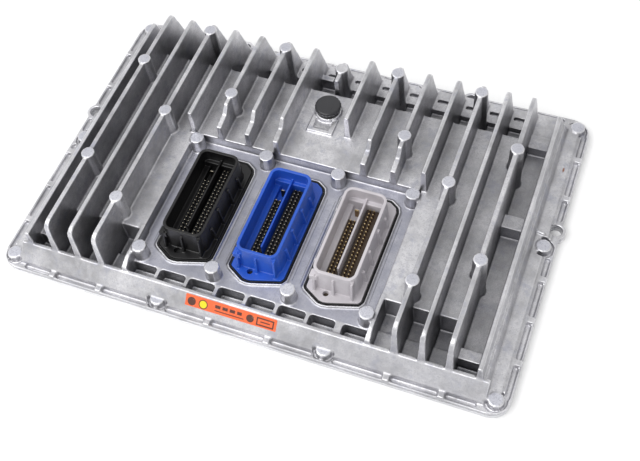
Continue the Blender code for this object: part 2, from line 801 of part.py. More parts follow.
def header_flange_outline():
    """Outline of a header's flange round its own middle, counterclockwise."""
    w = HEADER_HALF_WIDTH
    cut = HEADER_CORNER
    tip = HEADER_FRONT
    return [
        (w, HEADER_SHOULDER + 0.0002), (w, HEADER_BACK - cut), (w - 0.2 * cut, HEADER_BACK - 0.55 * cut),
        (w - cut, HEADER_BACK), (-w + cut, HEADER_BACK), (-w + 0.2 * cut, HEADER_BACK - 0.55 * cut),
        (-w, HEADER_BACK - cut), (-w, HEADER_SHOULDER), (-w + 0.0006, HEADER_SHOULDER - 0.0008),
        (HEADER_TIP_X - 0.0020, tip + 0.0003), (HEADER_TIP_X, tip), (HEADER_TIP_X + 0.0020, tip + 0.0002),
        (w - 0.0010, HEADER_SHOULDER - 0.0014),
    ]


def moved(outline, x):
    """The same outline further along X."""
    return [(point[0] + x, point[1]) for point in outline]


def header_places():
    """Middle lines of the three headers."""
    return (-HEADER_PITCH, 0.0, HEADER_PITCH)


def pocket_web(number):
    """Half the width of the web between two front pockets."""
    return (WIDE_WEB if number == WIDE_WEB_FIN else FRONT_POCKET_WEB) / 2


def front_pockets():
    """Row of small deep pockets between the recess and the front wall."""
    pockets = []
    for number in range(-INNER_FINS, INNER_FINS):
        left = fin_x(number) + pocket_web(number)
        right = fin_x(number + 1) - pocket_web(number + 1)
        outline = rounded_box(left, right, POCKET_FRONT, POCKET_BACK, 0.0012)
        pockets.append(slab("front_pocket", [outline], RIM_TOP, PLATFORM_TOP + REACH))
    return pockets


def ledge_pockets():
    """Short slots in the back ledge, one between each two fins."""
    last = INNER_FINS + OUTER_FINS
    edges = [fin_x(number) for number in range(-last, last + 1)]
    middle = LEDGE_FRONT + 0.45 * LEDGE_WIDTH
    half = LEDGE_POCKET_WIDTH / 2
    top = JOINT + LEDGE_RISE
    pockets = []
    for left, right in zip(edges, edges[1:]):
        pockets.append(block("ledge_pocket", left + LEDGE_POCKET_INSET, right - LEDGE_POCKET_INSET, middle - half,
                             middle + half, top - LEDGE_POCKET_DEPTH, top + REACH))
    return pockets


def groove_blocks(side):
    """Raised steps in the deep groove next to an end fin."""
    left = fin_x(INNER_FINS + OUTER_FINS)
    right = END_FIN_X - END_FIN_TOP_WIDTH / 2
    base = ROOT
    steps = ((-0.0665, -0.0610, 0.0125), (0.0050, 0.0125, 0.0125), (0.0560, 0.0640, 0.0100), (0.0620, 0.0690, 0.0080))
    blocks = []
    for front, back, top in steps:
        edges = sorted((side * left, side * right))
        blocks.append(block("groove_step", edges[0], edges[1], front, back, base, top))
    return blocks


def posts():
    """Places of the posts that hold the circuit board."""
    places = [(sx * POST_X, y) for sx in (-1, 1) for y in (POST_BACK_Y, POST_FRONT_Y)]
    places += [(sx * POST_MIDDLE_X, POST_BACK_Y) for sx in (-1, 1)]
    return places


def pedestals():
    """Footprints of the blocks that take heat from the chips, with the chips' heights."""
    found = [(sx * DRIVER_X, y, DRIVER_SIZE) for sx in (-1, 1) for y in DRIVER_Y]
    found.append((PROCESSOR_X, PROCESSOR_Y, PROCESSOR_SIZE))
    return found


def chip_seat(size):
    """Height of the pedestal over a chip of one size."""
    return PART_SEAT + size[2] + PAD_THICKNESS + 2 * FIT_GAP


def cavity_cutter():
    """The space inside the housing, with the posts and pedestals left standing."""
    side = fin_x(INNER_FINS + OUTER_FINS) - WALL
    bay_side = BAY_HALF_WIDTH + WALL
    back = DECK_BACK - WALL
    front = DECK_FRONT + WALL
    low = JOINT - REACH
    plan = [(-side, front), (-TONGUE_SIDE, front), (-TONGUE_SIDE, TONGUE_FRONT), (TONGUE_SIDE, TONGUE_FRONT),
            (TONGUE_SIDE, front), (side, front), (side, back), (-side, back)]
    cavity = slab("cavity", [plan], low, BAY_CAVITY_TOP)
    upper = [(-side, front), (-bay_side, front), (-bay_side, BAY_BACK + WALL), (bay_side, BAY_BACK + WALL),
             (bay_side, front), (side, front), (side, back), (-side, back)]
    upper = offset_outline(upper, -0.00005)
    raised = slab("raised_cavity", [upper], BAY_CAVITY_TOP - REACH, CAVITY_TOP)
    combine(cavity, [raised], "UNION", "cavity_shape")
    settle(cavity)
    keep = []
    for x, y in posts():
        keep.append(cone("post", x, y, BOARD_TOP + FIT_GAP, CAVITY_TOP + REACH, POST_RADIUS, POST_RADIUS + 0.0002,
                         HOLE_SIDES))
    for x, y, size in pedestals():
        half_x = size[0] / 2 - 0.0005
        half_y = size[1] / 2 - 0.0005
        keep.append(block("pedestal", x - half_x, x + half_x, y - half_y, y + half_y, chip_seat(size),
                          CAVITY_TOP + REACH))
    return settle(combine(cavity, keep, "DIFFERENCE", "cavity_keeps"))


def gasket_outlines(inner_side, outer_side):
    """Two outlines of the groove or of the gasket, outer one first."""
    middle = GASKET_INSET
    outer = case_outline(middle - outer_side, GASKET_CORNER + outer_side)
    inner = case_outline(middle + inner_side, GASKET_CORNER - inner_side)
    return [outer, inner]


def vent_solids():
    """Boss and low U-shaped frame under the breather."""
    base = DECK_TOP - SINK
    half = VENT_FRAME_HALF_WIDTH
    inner = half - VENT_FRAME_BAR
    front = VENT_FRAME_FRONT
    back = VENT_Y - 0.0040
    frame = [(-half, front), (half, front), (half, back), (inner, back), (inner, front + VENT_FRAME_BAR),
             (-inner, front + VENT_FRAME_BAR), (-inner, back), (-half, back)]
    return [
        boss("vent_boss", VENT_X, VENT_Y, VENT_BOSS_RADIUS, DECK_TOP + VENT_BOSS_HEIGHT, base, RING_SIDES),
        slab("vent_frame", [moved(frame, VENT_X)], base - 0.0001, DECK_TOP + VENT_FRAME_HEIGHT),
    ]


def opening_rims():
    """Raised rims round the header openings."""
    rims = []
    for x in header_places():
        outline = offset_outline(header_flange_outline(), OPENING_OUTER + OPENING_RIM_WIDTH)
        rims.append(slab("opening_rim", [moved(outline, x)], PLATFORM_TOP - SINK, PLATFORM_TOP + OPENING_RIM_RISE))
    return rims


def base_outline(gap):
    """Outline of a header's body under its flange, with a clearance."""
    return rounded_box(SHROUD_LEFT - gap, SHROUD_RIGHT + gap, SHROUD_FRONT - gap, SHROUD_BACK + gap, SHROUD_CORNER)


def opening_cutters():
    """Stepped openings for the headers."""
    cutters = []
    for x in header_places():
        recess = offset_outline(header_flange_outline(), OPENING_OUTER)
        cutters.append(slab("opening_recess", [moved(recess, x)], OPENING_LEDGE, PLATFORM_TOP + 2 * REACH))
        cutters.append(slab("opening", [moved(base_outline(FIT_GAP), x)], BAY_CAVITY_TOP - REACH,
                            PLATFORM_TOP + REACH))
    return cutters


def raised_forms():
    """Everything that the casting carries above its flange, apart from bosses in the moats."""
    low = JOINT + RIM_RISE / 2
    solids = [
        slab("ridge", [case_outline(SLOT_INSET + 0.0001), case_outline(SHELF_INSET + 0.0005)], low,
             JOINT + RIDGE_RISE),
        slab("shelf", [case_outline(SHELF_INSET)] + deep_floors(), low - 0.0002, SHELF_TOP),
        front_wall(),
        block("back_ledge", -END_FIN_X, END_FIN_X, LEDGE_FRONT, HALF_DEPTH - SLOT_INSET - 0.0006, low + 0.0001,
              JOINT + LEDGE_RISE),
        block("ledge_block", *LEDGE_BLOCK, ROOT, JOINT + LEDGE_BLOCK_RISE),
        block("deck_back", -fin_x(7), fin_x(7), BAY_BACK, DECK_BACK, low + 0.0003, DECK_TOP),
        block("platform", -fin_x(4), fin_x(4), FRONT_WALL_Y + 0.0005, BAY_BACK + SINK, low + 0.0004, PLATFORM_TOP),
        eyelet_web(),
    ]
    for side in (-1, 1):
        left, right = sorted((side * BAY_HALF_WIDTH, side * fin_x(7)))
        solids.append(block("deck_side", left, right, DECK_FRONT, BAY_BACK + 2 * SINK, low + 0.0005, DECK_TOP))
        solids.append(end_fin(side))
        solids.append(low_rib(side))
        solids += groove_blocks(side)
    last = INNER_FINS + OUTER_FINS
    solids += [fin(number) for number in range(-last, last + 1)]
    solids += fin_bosses()
    solids += [boss("bay_boss", x, y, BAY_BOSS_RADIUS, JOINT + BAY_BOSS_RISE, PLATFORM_TOP - SINK)
               for x, y in bay_boss_places()]
    solids += cross_ribs()
    solids += vent_solids()
    solids += opening_rims()
    return solids


def flange_bosses():
    """Bosses for the cover screws and rings of the eyelets."""
    solids = [boss("flange_boss", x, y, FLANGE_BOSS_RADIUS, JOINT + FLANGE_BOSS_RISE, JOINT - REACH)
              for x, y in flange_boss_places()]
    solids += [cone("eyelet", x, y, JOINT - REACH, JOINT + EYELET_RISE, EYELET_RADIUS, EYELET_RADIUS, RING_SIDES)
               for x, y in eyelet_places()]
    return solids


def holes():
    """Bores for the screws, the eyelets' bolts and the breather."""
    bore = VENT_STEM_RADIUS + FIT_GAP
    cuts = [cone("vent_bore", VENT_X, VENT_Y, CAVITY_TOP - REACH, DECK_TOP + VENT_BOSS_HEIGHT + REACH, bore, bore,
                 RING_SIDES)]
    for x, y in eyelet_places():
        cuts.append(cone("eyelet_hole", x, y, JOINT - REACH * 0.7, JOINT + EYELET_RISE + REACH, EYELET_HOLE_RADIUS,
                         EYELET_HOLE_RADIUS, RING_SIDES))
    hole = COVER_SCREW_RADIUS + FIT_GAP
    for x, y in flange_boss_places():
        cuts.append(cone("cover_screw_hole", x, y, JOINT - REACH * 0.6, JOINT + COVER_SCREW_REACH + FIT_GAP, hole,
                         hole, HOLE_SIDES))
    hole = BOARD_SCREW_RADIUS + FIT_GAP
    tip = BOARD_BOTTOM + BOARD_SCREW_REACH
    cuts += [cone("board_screw_hole", x, y, BOARD_TOP - REACH, tip, hole, hole, HOLE_SIDES) for x, y in posts()]
    return cuts


def housing():
    """The cast housing, as one solid."""
    body = slab("housing", [case_outline(0.0)], JOINT, RIM_TOP, UNIT, CAST_ALUMINIUM)
    solids = raised_forms()
    channels = [slab("channel", [outline], CHANNEL_FLOOR, RIM_TOP + REACH) for outline in flange_slots()]
    channels += moats()
    bosses = flange_bosses()
    cuts = [block("under_trim", -0.2, 0.2, -0.2, 0.2, JOINT - 0.01, JOINT)]
    cuts.append(cavity_cutter())
    cuts.append(slab("gasket_groove", gasket_outlines(GASKET_WIDTH / 2 + FIT_GAP, GASKET_WIDTH / 2 + FIT_GAP),
                     JOINT - 0.5 * REACH, JOINT + GASKET_HEIGHT + FIT_GAP))
    cuts += front_pockets()
    cuts += ledge_pockets()
    cuts += opening_cutters()
    cuts += holes()
    combine(body, solids, "UNION", "housing_solids")
    combine(body, channels, "DIFFERENCE", "housing_channels")
    combine(body, bosses, "UNION", "housing_bosses")
    return settle(combine(body, cuts, "DIFFERENCE", "housing_cuts"))


# Base cover, gasket and cover screws
def base_cover():
    """Flat cover under the housing, with lugs and countersunk holes."""
    holes = [circle(x, y, EYELET_HOLE_RADIUS) for x, y in eyelet_places()]
    cover = slab("base_cover", [case_outline(0.0)], 0.0, COVER_THICKNESS, UNIT, SHEET_ALUMINIUM)
    lugs = [cone("cover_lug", x, y, 0.0, COVER_THICKNESS, EYELET_RADIUS, EYELET_RADIUS, RING_SIDES)
            for x, y in eyelet_places()]
    combine(cover, lugs, "UNION", "cover_lugs")
    cuts = [slab("cover_hole", [hole], -REACH, JOINT + REACH) for hole in holes]
    wide = COVER_SCREW_HEAD_RADIUS + 1.5 * FIT_GAP
    narrow = COVER_SCREW_RADIUS + FIT_GAP
    rate = (wide - narrow) / COVER_THICKNESS
    for x, y in flange_boss_places():
        cuts.append(cone("countersink", x, y, -REACH, COVER_THICKNESS + REACH, wide + rate * REACH,
                         narrow - rate * REACH, HOLE_SIDES))
    return settle(combine(cover, cuts, "DIFFERENCE", "cover_cuts"))


def cover_gasket():
    """Moulded gasket in the housing's groove."""
    outlines = gasket_outlines(GASKET_WIDTH / 2, GASKET_WIDTH / 2)
    return slab("cover_gasket", outlines, JOINT, JOINT + GASKET_HEIGHT, UNIT, SEAL_RUBBER)


def screw_mesh(name, shank_radius, head_radius, head, reach, countersunk, material):
    """Screw, head down, with its head's face at height zero. A countersunk one has a hexagon socket."""
    profile = [(0.0, 0.0), (head_radius, 0.0)]
    if not countersunk:
        profile.append((head_radius, head))
    profile += [(shank_radius, head), (shank_radius, reach), (0.0, reach)]
    profile.reverse()
    body = turned(name, profile, SCREW_SIDES, CUTTERS, material)
    if countersunk:
        socket = cone("drive", 0.0, 0.0, -REACH, DRIVE_DEPTH, DRIVE_RADIUS, DRIVE_RADIUS, 6)
        combine(body, [socket], "DIFFERENCE", name + "_drive")
    mesh = settle(body).data
    mesh.name = name
    bpy.data.objects.remove(body, do_unlink=True)
    return mesh


def cover_screws():
    """Countersunk screws that close the unit from below."""
    head = COVER_SCREW_HEAD_RADIUS - COVER_SCREW_RADIUS
    reach = JOINT + COVER_SCREW_REACH - 0.5 * FIT_GAP
    mesh = screw_mesh("cover_screw", COVER_SCREW_RADIUS, COVER_SCREW_HEAD_RADIUS, head, reach, True, ZINC_STEEL)
    for number, (x, y) in enumerate(flange_boss_places(), 1):
        screw = add_object(f"cover_screw_{number}", mesh, UNIT)
        screw.location = (x, y, 0.5 * FIT_GAP)


def board_screws():
    """Pan-head screws that hold the board to the posts."""
    mesh = screw_mesh("board_screw", BOARD_SCREW_RADIUS, BOARD_SCREW_HEAD_RADIUS, BOARD_SCREW_HEAD, BOARD_SCREW_REACH,
                      False, ZINC_STEEL)
    for number, (x, y) in enumerate(posts(), 1):
        screw = add_object(f"board_screw_{number}", mesh, UNIT)
        screw.location = (x, y, COVER_THICKNESS + FIT_GAP)


# Headers and seals
def header_pins():
    """Square pins of both pin fields and the blade, as one guide."""
    floor = HEADER_TOP + SHROUD_FLOOR
    half = PIN_WIDTH / 2
    guides = []
    fields = ((LEFT_PINS_X, LEFT_PIN_ROWS), (RIGHT_PINS_X, RIGHT_PIN_ROWS))
    for first_x, rows in fields:
        for column in range(2):
            for row in range(rows):
                x = first_x + column * PIN_PITCH
                y = FIRST_PIN_Y + row * PIN_PITCH
                guides.append(block("pin", x - half, x + half, y - half, y + half, floor - SINK / 2,
                                    floor + PIN_HEIGHT))
    blade_y = FIRST_PIN_Y + (LEFT_PIN_ROWS - 1) * PIN_PITCH + BLADE_OFFSET
    blade_x = LEFT_PINS_X + PIN_PITCH / 2
    guides.append(block("blade", blade_x - BLADE_LENGTH / 2, blade_x + BLADE_LENGTH / 2, blade_y - half, blade_y + half,
                        floor - SINK / 2, floor + PIN_HEIGHT))
    return joined_guides("pins", guides)


def shroud_ribs():
    """Short upright ribs on the outside of the shroud."""
    low = HEADER_TOP - SINK
    high = HEADER_TOP + 0.75 * SHROUD_HEIGHT
    half = SHROUD_RIB_WIDTH / 2
    ribs = [block("rib_right", SHROUD_RIGHT - SINK, SHROUD_RIGHT + SHROUD_RIB, y - half, y + half, low, high)
            for y in RIGHT_RIBS_Y]
    ribs += [block("rib_left", SHROUD_LEFT - SHROUD_RIB_LEFT, SHROUD_LEFT + SINK, y - half, y + half, low, high)
             for y in LEFT_RIBS_Y]
    ribs += [block("rib_front", x - half, x + half, SHROUD_FRONT - SHROUD_RIB, SHROUD_FRONT + SHROUD_CORNER / 2, low,
                   high) for x in FRONT_RIBS_X]
    return joined_guides("shroud_ribs", ribs)


def header_mesh():
    """Moulded header with its pins, shared by all three."""
    flange = slab("header", [header_flange_outline()], HEADER_BOTTOM, HEADER_TOP)
    foot = slab("header_foot", [offset_outline(base_outline(0.0), -0.0003)], PART_SEAT, HEADER_BOTTOM + SINK)
    outer = base_outline(0.0)
    inner = rounded_box(SHROUD_LEFT + SHROUD_WALL, SHROUD_RIGHT - SHROUD_WALL, SHROUD_FRONT + SHROUD_WALL,
                        SHROUD_BACK - SHROUD_WALL, SHROUD_CORNER - SHROUD_WALL)
    floor = HEADER_TOP + SHROUD_FLOOR
    shroud = slab("shroud", [outer], HEADER_TOP - SINK, HEADER_TOP + SHROUD_HEIGHT)
    hollow = slab("shroud_hollow", [inner], floor, HEADER_TOP + SHROUD_HEIGHT + REACH)
    combine(flange, [foot, shroud, shroud_ribs()], "UNION", "header_solids")
    hole = cone("header_hole", HEADER_TIP_X, HEADER_SHOULDER - 0.0011, HEADER_TOP - HEADER_HOLE_DEPTH,
                HEADER_TOP + REACH, HEADER_HOLE_RADIUS, HEADER_HOLE_RADIUS)
    combine(flange, [hollow, hole], "DIFFERENCE", "header_cuts")
    divider_x = (LEFT_PINS_X + PIN_PITCH + RIGHT_PINS_X) / 2 - DIVIDER_WIDTH
    divider = block("divider", divider_x, divider_x + DIVIDER_WIDTH, DIVIDER_FRONT, DIVIDER_BACK, floor - SINK / 2,
                    floor + DIVIDER_HEIGHT)
    ledge_back = SHROUD_BACK - SHROUD_WALL
    ledge = block("inner_ledge", SHROUD_LEFT + 2.2 * SHROUD_WALL, SHROUD_RIGHT - 2.2 * SHROUD_WALL,
                  ledge_back - INNER_LEDGE_DEPTH, ledge_back + SINK / 2, floor - SINK / 2, floor + INNER_LEDGE_HEIGHT)
    mesh = settle(combine(flange, [header_pins(), divider, ledge], "UNION", "header_pins")).data
    mesh.name = "pin_header"
    bpy.data.objects.remove(flange, do_unlink=True)
    return mesh


def headers():
    """The three headers and the seal round each flange."""
    mesh = header_mesh()
    mesh.materials.append(BLACK_PLASTIC)
    outline = header_flange_outline()
    seal = [offset_outline(outline, SEAL_OUTER), offset_outline(outline, SEAL_INNER)]
    finishes = (("black", BLACK_PLASTIC), ("blue", BLUE_PLASTIC), ("grey", GREY_PLASTIC))
    for (color, material), x in zip(finishes, header_places()):
        header = add_object("header_" + color, mesh, UNIT)
        header.location.x = x
        header.material_slots[0].link = "OBJECT"
        header.material_slots[0].material = material
        ring = slab("header_seal_" + color, seal, OPENING_LEDGE + FIT_GAP, HEADER_TOP - 0.0004, UNIT, SEAL_RUBBER)
        ring.location.x = x


# Breather
def breather():
    """Push-in cap with a stem, and the ring that it squeezes."""
    seat = DECK_TOP + VENT_BOSS_HEIGHT + FIT_GAP
    under = seat + VENT_RING_SECTION + FIT_GAP
    top = under + VENT_CAP_HEIGHT
    bottom = seat - VENT_STEM_LENGTH
    bore_end = top - VENT_CAP_SKIN
    profile = [(0.0, top), (VENT_CAP_RADIUS - VENT_CAP_EDGE, top), (VENT_CAP_RADIUS, top - VENT_CAP_EDGE),
               (VENT_CAP_RADIUS, under), (VENT_STEM_RADIUS, under), (VENT_STEM_RADIUS, bottom),
               (VENT_BORE_RADIUS, bottom), (VENT_BORE_RADIUS, bore_end), (0.0, bore_end)]
    cap = turned("vent_cap", profile, RING_SIDES, UNIT, BLACK_PLASTIC)
    cap.location = (VENT_X, VENT_Y, 0.0)
    outer = VENT_CAP_RADIUS - 2 * FIT_GAP
    inner = VENT_STEM_RADIUS + FIT_GAP
    slab("vent_ring", [circle(VENT_X, VENT_Y, outer), circle(VENT_X, VENT_Y, inner)], seat,
         seat + VENT_RING_SECTION, UNIT, SEAL_RUBBER)


# Board and the parts on it
def circuit_board():
    """Board with a tongue under the headers and a hole for each screw."""
    side = fin_x(INNER_FINS + OUTER_FINS) - WALL - BOARD_EDGE_GAP
    back = DECK_BACK - WALL - BOARD_EDGE_GAP
    front = DECK_FRONT + WALL + BOARD_EDGE_GAP
    tongue = TONGUE_SIDE - BOARD_EDGE_GAP
    tip = TONGUE_FRONT + BOARD_EDGE_GAP
    plan = [(-side, front), (-tongue, front), (-tongue, tip), (tongue, tip), (tongue, front), (side, front),
            (side, back), (-side, back)]
    holes = [circle(x, y, BOARD_SCREW_RADIUS + FIT_GAP, 8) for x, y in posts()]
    return slab("circuit_board", [plan] + holes, BOARD_BOTTOM, BOARD_TOP, UNIT, BOARD_GREEN)


def chip(name, x, y, size, material):
    """Flat package soldered on the board."""
    return block(name, x - size[0] / 2, x + size[0] / 2, y - size[1] / 2, y + size[1] / 2, PART_SEAT,
                 PART_SEAT + size[2], UNIT, material)


def thermal_pad(name, x, y, size):
    """Soft pad between a chip and its pedestal."""
    bottom = PART_SEAT + size[2] + FIT_GAP
    half_x = size[0] / 2 - 0.0008
    half_y = size[1] / 2 - 0.0008
    return block(name, x - half_x, x + half_x, y - half_y, y + half_y, bottom, bottom + PAD_THICKNESS, UNIT, PAD_GREY)


def capacitor(name, x, y):
    """Upright electrolytic can with a crimped waist."""
    r = CAPACITOR_RADIUS
    low = PART_SEAT
    high = PART_SEAT + CAPACITOR_HEIGHT
    waist = low + CAPACITOR_WAIST
    profile = [(0.0, low), (r, low), (r, waist - 0.0005), (0.92 * r, waist), (r, waist + 0.0005), (r, high),
               (0.0, high)]
    profile.reverse()
    can = turned(name, profile, CAN_SIDES, UNIT, CAN_METAL)
    can.location = (x, y, 0.0)
    return can


def board_parts():
    """Everything soldered on the board."""
    for number, (x, y, size) in enumerate(pedestals(), 1):
        if size is DRIVER_SIZE:
            chip(f"injector_driver_{number}", x, y, size, CHIP_BLACK)
            thermal_pad(f"driver_pad_{number}", x, y, size)
    chip("processor", PROCESSOR_X, PROCESSOR_Y, PROCESSOR_SIZE, CHIP_BLACK)
    thermal_pad("processor_pad", PROCESSOR_X, PROCESSOR_Y, PROCESSOR_SIZE)
    chip("flash_memory", PROCESSOR_X - 0.026, PROCESSOR_Y, MEMORY_SIZE, CHIP_BLACK)
    chip("crystal", PROCESSOR_X + 0.021, PROCESSOR_Y - 0.006, CRYSTAL_SIZE, CAN_METAL)
    chip("power_regulator", PROCESSOR_X + 0.034, PROCESSOR_Y + 0.004, REGULATOR_SIZE, CHIP_BLACK)
    for number, sx in enumerate((-1, 1), 1):
        chip(f"boost_inductor_{number}", sx * INDUCTOR_X, INDUCTOR_Y, INDUCTOR_SIZE, CHIP_BLACK)
    places = [(sx * x, CAPACITOR_Y) for sx in (-1, 1) for x in CAPACITOR_X]
    for number, (x, y) in enumerate(places, 1):
        capacitor(f"boost_capacitor_{number}", x, y)


housing()
base_cover()
cover_gasket()
cover_screws()
board_screws()
headers()
breather()
circuit_board()
board_parts()
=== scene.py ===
# %% [markdown]
# # An engine control unit in cast aluminium
# The real thing is a die-cast housing with long cooling fins, a flat cover under it,
# and three moulded headers whose pins stand on the circuit board inside.
# This lesson dresses the packed parts: it rounds the castings, moulds the headers
# again with their small ribs, and gives each surface a finish made of nodes.

# %% The fixed frame
import math

import bmesh
import bpy
from mathutils import Matrix, Vector


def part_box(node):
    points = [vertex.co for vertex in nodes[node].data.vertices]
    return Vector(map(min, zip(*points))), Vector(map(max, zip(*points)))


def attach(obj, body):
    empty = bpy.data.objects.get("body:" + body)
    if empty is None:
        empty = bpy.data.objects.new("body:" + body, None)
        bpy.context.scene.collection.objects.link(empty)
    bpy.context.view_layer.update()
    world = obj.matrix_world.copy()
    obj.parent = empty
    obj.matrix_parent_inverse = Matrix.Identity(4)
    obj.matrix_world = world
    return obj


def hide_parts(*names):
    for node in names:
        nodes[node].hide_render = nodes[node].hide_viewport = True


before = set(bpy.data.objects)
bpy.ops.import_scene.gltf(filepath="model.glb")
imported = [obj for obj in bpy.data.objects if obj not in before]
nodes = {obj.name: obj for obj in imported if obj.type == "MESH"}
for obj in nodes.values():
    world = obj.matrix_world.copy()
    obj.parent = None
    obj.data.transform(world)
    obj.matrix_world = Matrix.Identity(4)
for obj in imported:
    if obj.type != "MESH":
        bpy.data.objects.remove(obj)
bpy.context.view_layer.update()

# %% [markdown]
# ## Looking from where the photographer stood
# The camera was solved from the fins, whose spacing is regular, so its place and
# its turn are plain numbers here. The lens is a short telephoto.

# %% Camera
CAMERA_PLACE = (0.1397, -0.2524, 0.4133)
CAMERA_TURN = (2.5519559, 0.433966954, -0.235828458)
LENS = 56.07

turn = Matrix.Rotation(Vector(CAMERA_TURN).length, 3, Vector(CAMERA_TURN))
lens = bpy.data.cameras.new("camera")
lens.lens = LENS
lens.sensor_width = 36.0
lens.clip_start = 0.01
camera = bpy.data.objects.new("camera", lens)
bpy.context.scene.collection.objects.link(camera)
axes = turn.transposed() @ Matrix.Diagonal((1.0, -1.0, -1.0))
camera.matrix_world = Matrix.Translation(CAMERA_PLACE) @ axes.to_4x4()
bpy.context.scene.camera = camera
print("camera looks along", tuple(round(v, 3) for v in -axes.col[2]))

# %% [markdown]
# ## Sums with sockets
# A material is a small calculation. Wrapping a socket in a class lets Python's
# operators add the Math nodes, so that a formula for wear can be read as one.

# %% Sockets that can be added and multiplied


class Wire:
    """One output socket, on which Python's operators build nodes."""

    def __init__(self, paint, socket):
        self.paint = paint
        self.socket = socket

    def op(self, operation, *others):
        values = dict(enumerate((self, *others)))
        return self.paint.node("ShaderNodeMath", {"operation": operation}, values)

    def __add__(self, other):
        return self.op("ADD", other)

    def __sub__(self, other):
        return self.op("SUBTRACT", other)

    def __mul__(self, other):
        return self.op("MULTIPLY", other)

    def __pow__(self, other):
        return self.op("POWER", other)

    def __rsub__(self, other):
        return self.paint.node("ShaderNodeMath", {"operation": "SUBTRACT"}, {0: other, 1: self})

    __radd__ = __add__
    __rmul__ = __mul__

    def clamp(self):
        return self.paint.node("ShaderNodeClamp", {}, {0: self})

    def step(self, low, high):
        """Nought under low and one over high, with a soft rise between."""
        return self.paint.node("ShaderNodeMapRange", {"interpolation_type": "SMOOTHSTEP"},
                               {"Value": self, "From Min": low, "From Max": high})

    def between(self, low, rise, fall, high):
        """One from the rise to the fall, and nought under low and over high."""
        return self.step(low, rise) * (1.0 - self.step(fall, high))

    def absolute(self):
        return self.op("ABSOLUTE")

    def within(self, near, far):
        """One where the value is nearer to nought than near, and nought beyond far."""
        return 1.0 - self.absolute().step(near, far)


class Paint:
    """The node tree of one material, or of the world."""

    def __init__(self, owner):
        owner.use_nodes = True
        self.tree = owner.node_tree
        self.tree.nodes.clear()

    def node(self, kind, settings=None, sockets=None, output=0):
        """Add a node: its settings first, then its sockets, then one output to go on with."""
        made = self.tree.nodes.new(kind)
        for name, value in (settings or {}).items():
            setattr(made, name, value)
        for key, value in (sockets or {}).items():
            if isinstance(value, Wire):
                self.tree.links.new(value.socket, made.inputs[key])
            else:
                made.inputs[key].default_value = value
        return Wire(self, made.outputs[output])

    def place(self):
        """Where a point is on the object, in metres."""
        return self.node("ShaderNodeTexCoord", output=3)

    def apart(self, vector):
        """The three numbers of a vector."""
        split = self.node("ShaderNodeSeparateXYZ", {}, {0: vector})
        outputs = split.socket.node.outputs
        return [Wire(self, outputs[index]) for index in range(3)]

    def noise(self, size, detail=3.0, rough=0.5, stretch=None):
        """Cloudy pattern whose lumps have a size in metres, from about nought to one."""
        where = self.place()
        if stretch:
            where = self.node("ShaderNodeMapping", {}, {"Vector": where, "Scale": stretch})
        return self.node("ShaderNodeTexNoise", {}, {
            "Vector": where, "Scale": 1.0 / size, "Detail": detail, "Roughness": rough})

    def cells(self, size):
        """Distance to the nearest of scattered points, in lumps of a size in metres."""
        return self.node("ShaderNodeTexVoronoi", {"feature": "F1"}, {
            "Vector": self.place(), "Scale": 1.0 / size, "Randomness": 1.0})

    def mix(self, share, first, second):
        """Blend two colours by a share."""
        ends = [(*color, 1.0) if isinstance(color, tuple) else color for color in (first, second)]
        return self.node("ShaderNodeMix", {"data_type": "RGBA"}, {0: share, 6: ends[0], 7: ends[1]}, 2)

    def bump(self, height, strength, distance):
        """Turn a height in shares of a distance into a normal."""
        return self.node("ShaderNodeBump", {}, {
            "Strength": strength, "Distance": distance, "Height": height})

    def finish(self, **sockets):
        """End in one Principled shader."""
        named = {key.replace("_", " "): value for key, value in sockets.items()}
        surface = self.node("ShaderNodeBsdfPrincipled", {}, named)
        self.node_out(surface)

    def node_out(self, surface, kind="ShaderNodeOutputMaterial"):
        end = self.tree.nodes.new(kind)
        self.tree.links.new(surface.socket, end.inputs["Surface"])


def material(name):
    """A new material and the tree to paint it with."""
    made = bpy.data.materials.new(name)
    return made, Paint(made)


print("a wire has", len([name for name in vars(Wire) if not name.startswith("_")]), "named sums")

# %% [markdown]
# ## Cast aluminium
# The housing leaves the die with a skin that is bright but never even: clouds where
# the melt cooled at different speeds, a fine grain from the blasting that follows,
# and small dents. That is noise at several sizes, in metres on the object. Masks say
# where a point lies: on a boss, in the header bay, in front, or deep between two fins.

# %% Cast aluminium
# Painted shade darkens the hollows, the header bay and the front faces; edges and glints get painted
# highlights.
# Where the casting's features lie, in metres. Each pair of numbers is a soft end.
FINNED_X, FINNED_Y = (0.1125, 0.1135), (0.0745, 0.0760)
BAY_X, BAY_Y = (0.0592, 0.0602), (0.0370, 0.0380)
BAY_MIDDLE_Y = -0.0295
BAY_HEIGHTS = (0.0090, 0.0100, 0.0124, 0.0130)
FIN_BOSS_HEIGHTS = (0.0326, 0.0328)
BAY_BOSS_HEIGHTS = (0.0199, 0.0200, 0.0203, 0.0205)
FLANGE_BOSS_HEIGHTS = (0.0067, 0.0068, 0.0072, 0.0074)
GROOVES_X = (0.0170, 0.0210, 0.0550)
GROOVES_MIDDLE_Y = -0.0300
GROOVE_WIDTH, GROOVE_LENGTH = (0.00008, 0.00026), (0.0235, 0.0245)
FRONT_SHADE_X = (-0.02, 0.06)
RIGHT_SHELF_X = (0.106, 0.110)
RUST_PLACE = (0.1204, 0.0488)
RUST_REACH = (0.0008, 0.0020)
SHADE_REACH = 0.022
DENT_PITCH = 0.0042
SKIN_RELIEF = 0.00026

# Painted highlight: small white glints in the grain.
PAINTED_GLINT = (0.98, 0.98, 1.0)
# Painted shade in the header bay, on its floor and on its walls.
BAY_FLOOR_SHADE = (0.34, 0.35, 0.44)
BAY_WALL_SHADE = (0.30, 0.30, 0.34)
BOSS_TOP = (0.66, 0.67, 0.75)
BOSS_SPECK = (0.40, 0.40, 0.46)
